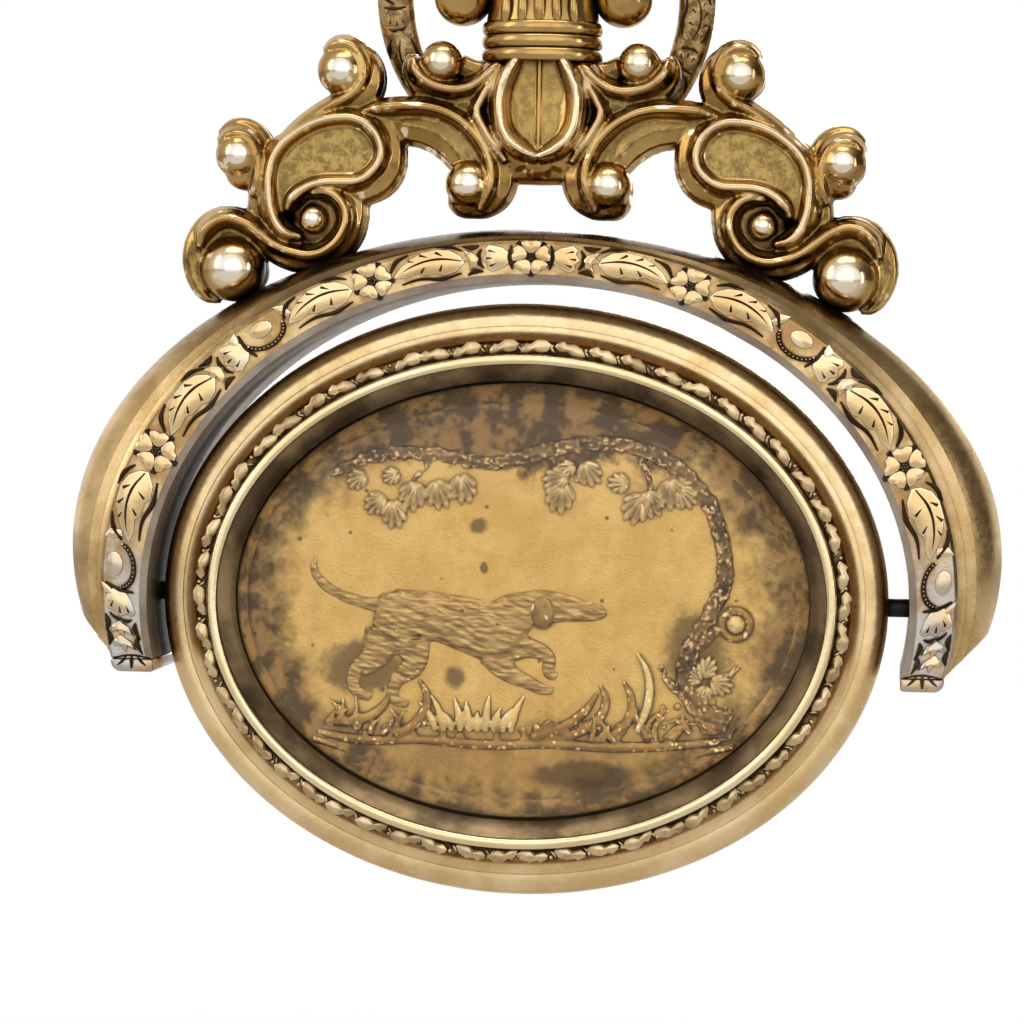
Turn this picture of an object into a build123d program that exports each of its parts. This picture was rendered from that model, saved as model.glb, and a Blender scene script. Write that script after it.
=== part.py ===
"""Swivel seal fob in gilt metal: ring, stem, scroll crest, half-hoop yoke and a two-sided oval seal.

Millimetres. The origin is the centre of the pendant eye, +Z is up, and the front faces -Y.
"""

import os
from math import cos, radians, sin, sqrt

from build123d import *

os.makedirs("parts", exist_ok=True)

# Clearance of the pivot pins in their tubes, and what a cut runs past its work
running_clearance = 0.05
overrun = 2.0

# The seal's pivot axis lies along X, this far below the eye
pivot_drop = 36.5
pin_radius = 0.435
pin_inner_reach = 15.4
pin_outer_reach = 21.55
pin_mouth_radius = 0.58
tube_radius = 0.78
tube_inset = 0.45

# Seal, from its outer edge inwards. It hangs a little to the left on its pins
seal_half_width = 17.24
seal_half_height = 14.03
seal_side_play = 0.35
band_width = 1.05
band_height = 1.6
quirk_width = 0.07
quirk_depth = 0.12
cove_width = 0.62
cove_rise = 0.62
border_width = 0.66
border_height = 0.78
border_seat_drop = 0.35
bezel_width = 0.5
bezel_height = 3.0
bezel_round = 0.18
collet_width = 0.75
collet_top_drop = 0.3
collet_slope_drop = 0.7
ledge_width = 0.3

# What lies inside the seal, from its mid-plane forwards
plate_half_thickness = 0.4
foil_thickness = 0.25
carving_room = 0.45
girdle_height = 0.85
stone_bevel_side = 0.65
stone_bevel_top = 1.05
stone_bevel_rise = 0.6

# Yoke: an elliptical bore round the pivot, two flat rims and a broad convex crown between them
bore_half_width = 17.85
bore_half_height = 15.0
liner_thickness = 0.35
yoke_depth = 8.0
rim_thickness = 0.9
rim_edge_chamfer = 0.15
rim_half_width = 20.05
rim_half_height = 16.2
rim_centre_rise = 0.7
crown_half_width = 22.14
crown_half_height = 15.25
crown_centre_rise = 2.3
crown_wall = 0.5
arm_drop = 3.0
arm_slant_rise = 2.5
cap_thickness = 0.65
cap_round = 0.5

# Section of the crown: place from a rim (1) to the middle (0), and how far it has risen there
crown_section_shares = [
    (1.0, 0.0), (0.94, 0.18), (0.89, 0.12), (0.82, 0.42), (0.77, 0.36),
    (0.70, 0.50), (0.55, 0.74), (0.36, 0.90), (0.18, 0.98), (0.0, 1.0),
]

# Crest: two stamped halves. Its places are shares of its half span and of its height
crest_half_span = 15.6
crest_base_drop = 20.9
crest_height = 9.8
crest_wall = 0.35
scroll_radius = 1.5
outer_ball_radius = 1.9
shoulder_ball_radius = 1.5
top_ball_radius = 1.5
inner_ball_radius = 1.4
lower_ball_radius = 1.65
ball_shares = {
    "outer": (1.0, 0.06),
    "shoulder": (0.917, 0.58),
    "top": (0.61, 0.98),
    "inner": (0.308, 0.99),
    "lower": (0.186, 0.43),
}
ball_radii = {
    "outer": outer_ball_radius,
    "shoulder": shoulder_ball_radius,
    "top": top_ball_radius,
    "inner": inner_ball_radius,
    "lower": lower_ball_radius,
}
# Scroll arms: the places along each, and its thickness there as a share of the scroll radius
arm_shares = {
    "outer_hood": [
        (1.06, 0.12, 0.42), (1.005, 0.205, 0.56), (0.93, 0.21, 0.64), (0.845, 0.15, 0.70),
        (0.77, 0.075, 0.72), (0.69, 0.06, 0.68), (0.61, 0.12, 0.62),
    ],
    "shoulder_hood": [(0.86, 0.67, 0.48), (0.84, 0.54, 0.56), (0.862, 0.38, 0.50), (0.868, 0.24, 0.50)],
    "top_hood": [
        (0.545, 1.02, 0.48), (0.53, 0.89, 0.58), (0.585, 0.785, 0.58), (0.69, 0.735, 0.50),
        (0.79, 0.63, 0.42),
    ],
    "beam": [
        (0.56, 0.66, 0.80), (0.45, 0.71, 0.86), (0.335, 0.705, 0.88), (0.244, 0.62, 0.88),
        (0.192, 0.48, 0.84),
    ],
    "inner_hood": [
        (0.385, 0.96, 0.46), (0.335, 0.885, 0.60), (0.245, 0.87, 0.68), (0.147, 0.875, 0.66),
        (0.06, 0.885, 0.62),
    ],
}

# The paisley panel: its outline, then its levels as shares of its height and of its width
paisley_shares = [
    (0.83, 0.265), (0.837, 0.418), (0.795, 0.58), (0.718, 0.668), (0.609, 0.724), (0.522, 0.684),
    (0.494, 0.571), (0.526, 0.459), (0.615, 0.408), (0.705, 0.388), (0.763, 0.316), (0.80, 0.20),
]
paisley_centre_shares = (0.667, 0.51)
panel_level_shares = [(0.0, 1.24), (0.62, 1.14), (1.0, 0.98)]
panel_height = 1.75
panel_recess_depth = 0.4
panel_recess_share = 0.86

# The round foot that stands on the yoke, with a ball in its bowl
foot_centre_shares = (0.70, 0.255)
foot_radius = 2.45
foot_height = 1.5
foot_level_shares = [(0.0, 1.0), (0.6, 0.9), (1.0, 0.66)]
foot_bowl_share = 0.56
foot_bowl_depth = 0.35
eye_ball_radius = 0.66

# Heart of the crest, under the collar, and the leaf on it
heart_half_width = 2.4
heart_drop = 5.75
heart_outline_shares = [(1.0, 0.0), (1.5, 0.3), (1.5, 0.55), (0.95, 1.0)]
heart_height = 1.45
heart_round = 0.5
leaf_half_width = 1.75
leaf_length = 4.6
leaf_height = 2.35
leaf_recess_depth = 0.3
leaf_recess_share = 0.74
leaf_top_share = 0.84
leaf_centre_share = 0.45
leaf_outline_shares = [(0.62, 0.0), (1.0, 0.38), (0.72, 0.76), (0.0, 1.0)]

# Collar between crest and stem: stacked rounded mouldings, oval in plan
collar_top_drop = 9.2
collar_bottom_drop = 11.1
collar_half_width = 2.88
collar_half_depth = 2.3
collar_count = 3
collar_core_share = 0.92

# Stem: a fluted taper with a scroll lobe on each side. Its widths are shares of the collar's
stem_top_drop = 1.85
stem_wall = 0.3
stem_shares = [(0.0, 0.30, 0.34), (0.22, 0.42, 0.46), (0.62, 0.72, 0.74), (1.0, 0.93, 0.93)]
lobe_place = 3.8
lobe_drop = 8.0
lobe_radius = 1.4
lobe_arm_radius = 1.0
lobe_arm_shares = [(1.06, 0.90, 0.98), (1.0, 0.70, 0.92), (0.64, 0.53, 0.78), (0.26, 0.40, 0.62)]

# Pendant eye, bored along X for the ring, with a tang down into the stem
eye_radius = 2.0
eye_bore_radius = 1.02
eye_width = 2.2
eye_round = 0.45
tang_radius = 0.4
tang_drop = 3.4

# Suspension ring: a crescent hoop, folded back behind the crest at rest
ring_outer_half_width = 8.1
ring_outer_half_height = 8.5
ring_inner_half_width = 6.35
ring_inner_half_height = 7.4
ring_thickness = 1.3
ring_round = 0.4
ring_tilt = 12.0

# Steps in a moulding's quarter turn
curve_steps = 5

# Places that follow from the sizes
pivot_z = -pivot_drop
half_depth = yoke_depth / 2
crown_half_depth = half_depth - rim_thickness
rim_z = pivot_z + rim_centre_rise
crown_z = pivot_z + crown_centre_rise
arm_end_z = pivot_z - arm_drop
crest_base_z = -crest_base_drop
collar_top_z = -collar_top_drop
collar_bottom_z = -collar_bottom_drop
quirk_inset = band_width + quirk_width
border_inset = quirk_inset + cove_width
bezel_inset = border_inset + border_width
collet_inset = bezel_inset + bezel_width
stone_inset = collet_inset + collet_width
ledge_inset = stone_inset + ledge_width
cove_foot = band_height - quirk_depth
border_seat = cove_foot + cove_rise - border_seat_drop
collet_top = bezel_height - collet_top_drop
stone_back = plate_half_thickness + foil_thickness + carving_room
girdle_top = stone_back + girdle_height


def oval(forward, half_width, half_height, centre):
    """An oval section across Y, this far in front of the mid-plane."""
    with BuildSketch(Plane.XZ.offset(forward)) as section:
        with Locations(centre):
            Ellipse(half_width, half_height)
    return section.sketch


def reach(half_width, half_height, rise):
    """Half the width of an ellipse at this height over its centre."""
    return half_width * sqrt(1 - (rise / half_height) ** 2)


quarter_turn = [radians(90 * step / curve_steps) for step in range(curve_steps + 1)]

# Seal
seal_centre = (-seal_side_play, pivot_z)


def seal_oval(inset, forward):
    return oval(forward, seal_half_width - inset, seal_half_height - inset, seal_centre)


def bore_along_x(radius, length, centre_x):
    with Locations((centre_x, 0, pivot_z)):
        Cylinder(radius, length, rotation=(0, 90, 0), mode=Mode.SUBTRACT)


band_levels = [(band_width * (1 - cos(turn)), band_height * sin(turn)) for turn in quarter_turn]
cove_levels = [
    (quirk_inset + cove_width * sin(turn), cove_foot + cove_rise * (1 - cos(turn)))
    for turn in quarter_turn
]

with BuildPart() as seal_front_frame:
    loft(sections=[seal_oval(inset, forward) for inset, forward in band_levels])
    extrude(seal_oval(band_width, cove_foot), amount=overrun, mode=Mode.SUBTRACT)
    loft(sections=[seal_oval(inset, forward) for inset, forward in cove_levels], ruled=True)
    extrude(seal_oval(border_inset, border_seat), amount=overrun, mode=Mode.SUBTRACT)
    extrude(seal_oval(bezel_inset, 0), amount=border_seat, mode=Mode.SUBTRACT)
    bore_along_x(pin_mouth_radius, 2 * (seal_half_width + overrun), -seal_side_play)
    bore_along_x(tube_radius, 2 * (seal_half_width - tube_inset), -seal_side_play)

with BuildPart() as front_leaf_border:
    half_width = border_width / 2
    half_rise = border_height / 2
    extrude(seal_oval(border_inset, border_seat), amount=half_rise)
    loft(sections=[
        seal_oval(border_inset + half_width * (1 - cos(turn)), border_seat + half_rise * (1 + sin(turn)))
        for turn in quarter_turn
    ])
    extrude(seal_oval(bezel_inset, 0), amount=bezel_height + overrun, mode=Mode.SUBTRACT)

with BuildPart() as front_bezel:
    extrude(seal_oval(bezel_inset, plate_half_thickness), amount=bezel_height - plate_half_thickness)
    extrude(seal_oval(collet_inset, 0), amount=bezel_height + overrun, mode=Mode.SUBTRACT)
    fillet(front_bezel.faces().sort_by(Axis.Y)[0].edges(), radius=bezel_round)

with BuildPart() as front_collet:
    extrude(seal_oval(collet_inset, plate_half_thickness), amount=collet_top - plate_half_thickness)
    loft(sections=[
        seal_oval(stone_inset, collet_top - collet_slope_drop), seal_oval(collet_inset, collet_top),
    ], mode=Mode.SUBTRACT)
    extrude(seal_oval(stone_inset, stone_back), amount=collet_top, mode=Mode.SUBTRACT)
    extrude(seal_oval(ledge_inset, 0), amount=collet_top, mode=Mode.SUBTRACT)

with BuildPart() as front_stone:
    extrude(seal_oval(stone_inset, stone_back), amount=girdle_height)
    table = oval(
        girdle_top + stone_bevel_rise,
        seal_half_width - stone_inset - stone_bevel_side,
        seal_half_height - stone_inset - stone_bevel_top,
        seal_centre,
    )
    loft(sections=[seal_oval(stone_inset, girdle_top), table])

with BuildPart() as front_foil:
    extrude(seal_oval(ledge_inset, plate_half_thickness), amount=foil_thickness)

with BuildPart() as centre_plate:
    extrude(seal_oval(bezel_inset, -plate_half_thickness), amount=2 * plate_half_thickness)

tube_outer_x = seal_half_width - tube_inset
tube_length = bezel_inset - tube_inset

with BuildPart() as right_bearing_tube:
    with Locations((tube_outer_x - tube_length / 2 - seal_side_play, 0, pivot_z)):
        Cylinder(tube_radius, tube_length, rotation=(0, 90, 0))
        Cylinder(pin_radius + running_clearance, tube_length, rotation=(0, 90, 0), mode=Mode.SUBTRACT)

with BuildPart() as left_bearing_tube:
    mirror(right_bearing_tube.part, about=Plane.YZ.offset(-seal_side_play))

# The seal's back half is the front half again
with BuildPart() as seal_back_frame:
    mirror(seal_front_frame.part, about=Plane.XZ)
with BuildPart() as back_leaf_border:
    mirror(front_leaf_border.part, about=Plane.XZ)
with BuildPart() as back_bezel:
    mirror(front_bezel.part, about=Plane.XZ)
with BuildPart() as back_collet:
    mirror(front_collet.part, about=Plane.XZ)
with BuildPart() as back_stone:
    mirror(front_stone.part, about=Plane.XZ)
with BuildPart() as back_foil:
    mirror(front_foil.part, about=Plane.XZ)

# Yoke
bore_centre = (0, pivot_z)
liner_half_width = bore_half_width + liner_thickness
liner_half_height = bore_half_height + liner_thickness
arm_inner_x = reach(bore_half_width, bore_half_height, -arm_drop)
arm_outer_x = reach(rim_half_width, rim_half_height, -arm_drop - rim_centre_rise)


def crown_sections(wall):
    """Ovals from the front rim to the back rim, all smaller by the wall."""
    front_half = crown_section_shares
    back_half = [(-place, rise) for place, rise in reversed(crown_section_shares[:-1])]
    return [
        oval(
            crown_half_depth * place,
            rim_half_width + (crown_half_width - rim_half_width) * rise - wall,
            rim_half_height + (crown_half_height - rim_half_height) * rise - wall,
            (0, rim_z + (crown_z - rim_z) * rise),
        )
        for place, rise in front_half + back_half
    ]


def arm_end_cut(lift):
    """All that lies below the arms' ends: level across the rims, slanted up across the crown."""
    far_x = crown_half_width + overrun
    slant = arm_slant_rise / (crown_half_width - arm_outer_x)
    end_z = arm_end_z + lift
    far_z = end_z + slant * (far_x - arm_outer_x)
    low_z = rim_z - rim_half_height - overrun
    with BuildSketch(Plane.XZ) as cut:
        with BuildLine():
            Polyline(
                (-far_x, low_z), (-far_x, far_z), (-arm_outer_x, end_z),
                (arm_outer_x, end_z), (far_x, far_z), (far_x, low_z), close=True,
            )
        make_face()
    return cut.sketch


with BuildPart() as crown_form:
    loft(sections=crown_sections(0), ruled=True)

with BuildPart() as crown_hollow:
    loft(sections=crown_sections(crown_wall), ruled=True)
    extrude(arm_end_cut(crown_wall), amount=yoke_depth, both=True, mode=Mode.SUBTRACT)

with BuildPart() as yoke_crown:
    add(crown_form.part)
    add(crown_hollow.part, mode=Mode.SUBTRACT)
    extrude(
        oval(0, liner_half_width, liner_half_height, bore_centre),
        amount=yoke_depth, both=True, mode=Mode.SUBTRACT,
    )
    extrude(arm_end_cut(0), amount=yoke_depth, both=True, mode=Mode.SUBTRACT)
    bore_along_x(pin_radius, 2 * pin_outer_reach, 0)

with BuildPart() as yoke_front_rim:
    extrude(
        oval(crown_half_depth, rim_half_width, rim_half_height, (0, rim_z)), amount=rim_thickness,
    )
    chamfer(yoke_front_rim.faces().sort_by(Axis.Y)[0].edges(), length=rim_edge_chamfer)
    extrude(
        oval(0, liner_half_width, liner_half_height, bore_centre),
        amount=yoke_depth, mode=Mode.SUBTRACT,
    )
    extrude(arm_end_cut(0), amount=yoke_depth, mode=Mode.SUBTRACT)

with BuildPart() as yoke_back_rim:
    mirror(yoke_front_rim.part, about=Plane.XZ)

with BuildPart() as yoke_liner:
    extrude(
        oval(0, liner_half_width, liner_half_height, bore_centre), amount=half_depth, both=True,
    )
    extrude(
        oval(0, bore_half_width, bore_half_height, bore_centre),
        amount=yoke_depth, both=True, mode=Mode.SUBTRACT,
    )
    extrude(arm_end_cut(0), amount=yoke_depth, both=True, mode=Mode.SUBTRACT)
    bore_along_x(pin_radius, 2 * pin_outer_reach, 0)

with BuildPart() as right_end_cap:
    with Locations(((arm_inner_x + arm_outer_x) / 2, 0, arm_end_z - cap_thickness / 2)):
        Box(arm_outer_x - arm_inner_x, yoke_depth, cap_thickness)
    lower_edges = right_end_cap.edges().filter_by(Axis.Y).sort_by(Axis.Z)[:2]
    fillet(lower_edges.sort_by(Axis.X)[-1], radius=cap_round)

with BuildPart() as left_end_cap:
    mirror(right_end_cap.part, about=Plane.YZ)

with BuildPart() as right_pivot_pin:
    with Locations(((pin_inner_reach + pin_outer_reach) / 2, 0, pivot_z)):
        Cylinder(pin_radius, pin_outer_reach - pin_inner_reach, rotation=(0, 90, 0))

with BuildPart() as left_pivot_pin:
    mirror(right_pivot_pin.part, about=Plane.YZ)


# Crest
def crest_place(x_share, z_share):
    """A place on the crest's right side."""
    return crest_half_span * x_share, crest_base_z + crest_height * z_share


def tapered_arm(places, radii):
    """A round arm along places in the mid-plane, with a radius at each."""
    sections = []
    for index, ((x, z), radius) in enumerate(zip(places, radii)):
        before = places[max(index - 1, 0)]
        after = places[min(index + 1, len(places) - 1)]
        along = Vector(after[0] - before[0], 0, after[1] - before[1])
        with BuildSketch(Plane(origin=(x, 0, z), x_dir=(0, 1, 0), z_dir=along)) as section:
            Circle(radius)
        sections.append(section.sketch)
    loft(sections=sections)


def paisley(scale_share, forward):
    centre_x, centre_z = crest_place(*paisley_centre_shares)
    corners = [crest_place(*share) for share in paisley_shares]
    outline = [
        (centre_x + (x - centre_x) * scale_share, centre_z + (z - centre_z) * scale_share)
        for x, z in corners
    ]
    with BuildSketch(Plane.XZ.offset(forward)) as section:
        with BuildLine():
            Spline(*outline, periodic=True)
        make_face()
    return section.sketch


def raised_panel(inset):
    """The paisley panel, rising from the mid-plane; its face is sunk inside a rim."""
    widths = [x for x, _ in (crest_place(*share) for share in paisley_shares)]
    narrower = 2 * inset / (max(widths) - min(widths))
    height = panel_height - (inset + panel_recess_depth if inset else 0)
    loft(sections=[paisley(width - narrower, height * rise) for rise, width in panel_level_shares])
    if not inset:
        extrude(
            paisley(panel_recess_share, panel_height - panel_recess_depth),
            amount=overrun, mode=Mode.SUBTRACT,
        )


def round_foot(inset):
    """The disc that stands on the yoke, with a ball in a bowl on its face."""
    centre = crest_place(*foot_centre_shares)
    height = foot_height - (inset + foot_bowl_depth if inset else 0)
    loft(sections=[
        oval(height * rise, foot_radius * width - inset, foot_radius * width - inset, centre)
        for rise, width in foot_level_shares
    ])
    if not inset:
        bowl_radius = foot_radius * foot_bowl_share
        bowl_floor = foot_height - foot_bowl_depth
        extrude(oval(bowl_floor, bowl_radius, bowl_radius, centre), amount=overrun, mode=Mode.SUBTRACT)
        with Locations((centre[0], -bowl_floor, centre[1])):
            Sphere(eye_ball_radius)


def scrolls(inset):
    """The balls and the arms that curl round them, thinner by the inset."""
    for name, share in ball_shares.items():
        x, z = crest_place(*share)
        with Locations((x, 0, z)):
            Sphere(ball_radii[name] - inset, rotation=(90, 0, 0))
    for arm in arm_shares.values():
        places = [crest_place(x_share, z_share) for x_share, z_share, _ in arm]
        radii = [scroll_radius * radius_share - inset for _, _, radius_share in arm]
        tapered_arm(places, radii)


def leaf(scale_share, forward):
    """The leaf's outline, scaled about a point on its midrib."""
    middle_z = collar_bottom_z - leaf_length * leaf_centre_share
    right = [
        (
            leaf_half_width * across * scale_share,
            middle_z + (collar_bottom_z - leaf_length * down - middle_z) * scale_share,
        )
        for across, down in leaf_outline_shares
    ]
    left = [(-x, z) for x, z in reversed(right)]
    with BuildSketch(Plane.XZ.offset(forward)) as section:
        with BuildLine():
            Spline(*right)
            Spline(*left)
            Line(left[-1], right[0])
        make_face()
    return section.sketch


def heart(inset):
    """The block under the collar that ties both sides together."""
    right = [
        (heart_half_width * across - inset, collar_bottom_z - heart_drop * down)
        for across, down in heart_outline_shares
    ]
    left = [(-x, z) for x, z in reversed(right)]
    with BuildSketch(Plane.XZ) as block:
        with BuildLine():
            Polyline(*right, *left, close=True)
        make_face()
        fillet(block.vertices(), radius=heart_round)
    extrude(block.sketch, amount=heart_height - inset)


def crest_quarter(inset):
    """Everything on the crest's right side, in front of the mid-plane."""
    heart(inset)
    raised_panel(inset)
    round_foot(inset)
    scrolls(inset)
    cut_size = 4 * crest_half_span
    with Locations((0, 0, crest_base_z)):
        Box(cut_size, cut_size, cut_size, align=(Align.CENTER, Align.MIN, Align.CENTER), mode=Mode.SUBTRACT)
        Box(cut_size, cut_size, cut_size, align=(Align.MAX, Align.CENTER, Align.CENTER), mode=Mode.SUBTRACT)


with BuildPart() as crest_hollow:
    crest_quarter(crest_wall)

with BuildPart() as crest_right_front:
    crest_quarter(0)
    add(crest_hollow.part, mode=Mode.SUBTRACT)
    add(crown_form.part, mode=Mode.SUBTRACT)

with BuildPart() as crest_front_shell:
    add(crest_right_front.part)
    mirror(crest_right_front.part, about=Plane.YZ)
    loft(sections=[leaf(1, heart_height), leaf(leaf_top_share, leaf_height)])
    extrude(
        leaf(leaf_recess_share, leaf_height - leaf_recess_depth), amount=overrun, mode=Mode.SUBTRACT,
    )

with BuildPart() as crest_back_shell:
    mirror(crest_front_shell.part, about=Plane.XZ)

# Collar
moulding_height = (collar_bottom_drop - collar_top_drop) / collar_count


def flat_oval(z, half_width, half_depth):
    """An oval section across Z."""
    with BuildSketch(Plane.XY.offset(z)) as section:
        Ellipse(half_width, half_depth)
    return section.sketch


def collar_oval(index, turn):
    """An oval round one moulding, from its lower edge at a quarter turn down to its upper edge."""
    width_share = collar_core_share + (1 - collar_core_share) * cos(turn)
    return flat_oval(
        collar_bottom_z + moulding_height * (index + (1 + sin(turn)) / 2),
        collar_half_width * width_share,
        collar_half_depth * width_share,
    )


rising_turn = [-turn for turn in reversed(quarter_turn[1:-1])] + quarter_turn

with BuildPart() as collar:
    collar_foot = collar_oval(0, -quarter_turn[-1])
    loft(
        sections=[collar_foot]
        + [collar_oval(index, turn) for index in range(collar_count) for turn in rising_turn],
        ruled=True,
    )

# Pendant eye
with BuildPart() as pendant_eye:
    Cylinder(eye_radius, eye_width, rotation=(0, 90, 0))
    fillet(pendant_eye.edges().filter_by(GeomType.CIRCLE), radius=eye_round)
    with Locations((0, 0, -(eye_radius + tang_drop) / 2)):
        Cylinder(tang_radius, tang_drop - eye_bore_radius)
    Cylinder(eye_bore_radius, eye_width, rotation=(0, 90, 0), mode=Mode.SUBTRACT)


# Stem
def stem(inset):
    """The stem's form, thinner by the inset and open at its foot."""
    top_z = -stem_top_drop - inset
    loft(sections=[
        flat_oval(
            top_z + (collar_top_z - top_z) * down,
            collar_half_width * across - inset,
            collar_half_depth * deep - inset,
        )
        for down, across, deep in stem_shares
    ])
    for side in (-1, 1):
        with Locations((side * lobe_place, 0, -lobe_drop)):
            Sphere(lobe_radius - inset)
        tapered_arm(
            [(side * lobe_place * across, -lobe_drop * down) for across, down, _ in lobe_arm_shares],
            [lobe_arm_radius * radius_share - inset for _, _, radius_share in lobe_arm_shares],
        )


with BuildPart() as stem_hollow:
    stem(stem_wall)

with BuildPart() as stem_front_shell:
    stem(0)
    add(stem_hollow.part, mode=Mode.SUBTRACT)
    add(pendant_eye.part, mode=Mode.SUBTRACT)
    split(bisect_by=Plane.XZ, keep=Keep.TOP)

with BuildPart() as stem_back_shell:
    mirror(stem_front_shell.part, about=Plane.XZ)

# Suspension ring, made in its own plane, which tilts back from the eye
tilt = radians(ring_tilt)
ring_plane = Plane(origin=(0, 0, 0), x_dir=(1, 0, 0), z_dir=(0, -cos(tilt), -sin(tilt)))
ring_centre_drop = (ring_outer_half_height + ring_inner_half_height) / 2

with BuildPart() as suspension_ring:
    with BuildSketch(ring_plane.offset(-ring_thickness / 2)):
        with Locations((0, -ring_centre_drop)):
            Ellipse(ring_outer_half_width, ring_outer_half_height)
            Ellipse(ring_inner_half_width, ring_inner_half_height, mode=Mode.SUBTRACT)
    extrude(amount=ring_thickness)
    fillet(suspension_ring.edges().filter_by(GeomType.ELLIPSE), radius=ring_round)

pieces = {
    "seal_front_frame": seal_front_frame,
    "seal_back_frame": seal_back_frame,
    "front_leaf_border": front_leaf_border,
    "back_leaf_border": back_leaf_border,
    "front_bezel": front_bezel,
    "back_bezel": back_bezel,
    "front_collet": front_collet,
    "back_collet": back_collet,
    "front_stone": front_stone,
    "back_stone": back_stone,
    "front_foil": front_foil,
    "back_foil": back_foil,
    "centre_plate": centre_plate,
    "left_bearing_tube": left_bearing_tube,
    "right_bearing_tube": right_bearing_tube,
    "yoke_crown": yoke_crown,
    "yoke_front_rim": yoke_front_rim,
    "yoke_back_rim": yoke_back_rim,
    "yoke_liner": yoke_liner,
    "left_end_cap": left_end_cap,
    "right_end_cap": right_end_cap,
    "left_pivot_pin": left_pivot_pin,
    "right_pivot_pin": right_pivot_pin,
    "crest_front_shell": crest_front_shell,
    "crest_back_shell": crest_back_shell,
    "collar": collar,
    "stem_front_shell": stem_front_shell,
    "stem_back_shell": stem_back_shell,
    "pendant_eye": pendant_eye,
    "suspension_ring": suspension_ring,
}
for name, piece in pieces.items():
    piece.part.label = name
    export_step(piece.part, f"parts/{name}.step")
    print(name, piece.part.is_valid, len(piece.part.solids()), round(piece.part.volume, 3))
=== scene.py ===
import math
import random

import bpy
from mathutils import Matrix, Vector, noise


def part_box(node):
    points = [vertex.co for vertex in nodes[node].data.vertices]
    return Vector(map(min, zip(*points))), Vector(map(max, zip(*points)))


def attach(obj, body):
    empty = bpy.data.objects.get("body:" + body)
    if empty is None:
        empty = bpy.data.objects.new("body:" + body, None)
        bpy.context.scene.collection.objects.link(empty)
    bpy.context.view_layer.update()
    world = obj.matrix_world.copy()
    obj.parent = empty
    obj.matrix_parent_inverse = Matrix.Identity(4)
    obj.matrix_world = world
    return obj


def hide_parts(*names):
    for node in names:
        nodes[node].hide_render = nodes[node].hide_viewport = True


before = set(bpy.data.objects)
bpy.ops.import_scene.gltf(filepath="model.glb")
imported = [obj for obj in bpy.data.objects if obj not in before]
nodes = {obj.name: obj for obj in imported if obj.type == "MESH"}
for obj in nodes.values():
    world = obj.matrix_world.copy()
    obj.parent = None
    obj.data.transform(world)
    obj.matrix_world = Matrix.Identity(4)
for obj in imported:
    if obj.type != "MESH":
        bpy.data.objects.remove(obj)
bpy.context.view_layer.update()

print("stage: camera, light and floor")

# Camera: level with the crest, 5 degrees to the right, as a long studio lens sees the fob
camera = {
    "azimuth": 5.0,
    "distance": 0.1905,
    "eyeHeight": -0.0252,
    "aim": (-0.00104, 0.0, -0.03238),
    "roll": 1.09,
    "lens": 141.0,
}
turn = math.radians(camera["azimuth"])
eye = Vector((
    camera["distance"] * math.sin(turn), -camera["distance"] * math.cos(turn), camera["eyeHeight"],
))
bpy.ops.object.select_all(action="DESELECT")
bpy.ops.object.camera_add(location=eye)
cameraObject = bpy.context.object
cameraObject.name = "studioCamera"
look = (Vector(camera["aim"]) - eye).to_track_quat("-Z", "Y")
rolled = look.to_matrix() @ Matrix.Rotation(math.radians(camera["roll"]), 3, "Z")
cameraObject.rotation_euler = rolled.to_euler()
cameraObject.data.lens = camera["lens"]
cameraObject.data.sensor_width = 36
cameraObject.data.clip_start = 0.01
cameraObject.data.clip_end = 20
bpy.context.scene.camera = cameraObject
bpy.context.scene.view_settings.view_transform = "Standard"

# Lamps: where each stands, what it looks at, its size across and its power
lamps = {
    "frontPanel": ((0.03, -0.36, 0.02), 0.42, 0.42, 0.23),
    "leftWindow": ((-0.30, -0.20, 0.12), 0.14, 0.30, 0.15),
    "topWindow": ((0.02, -0.10, 0.33), 0.34, 0.14, 0.28),
    "rightStrip": ((0.33, -0.16, -0.02), 0.05, 0.30, 0.12),
    "rearWindow": ((0.06, 0.36, 0.08), 0.20, 0.20, 0.35),
}
lampAim = Vector((0, 0, -0.03))
for name, (place, width, height, power) in lamps.items():
    bpy.ops.object.light_add(type="AREA", location=place)
    lamp = bpy.context.object
    lamp.name = name
    lamp.rotation_euler = (lampAim - Vector(place)).to_track_quat("-Z", "Y").to_euler()
    lamp.data.shape = "ELLIPSE"
    lamp.data.size = width
    lamp.data.size_y = height
    lamp.data.energy = power


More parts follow.
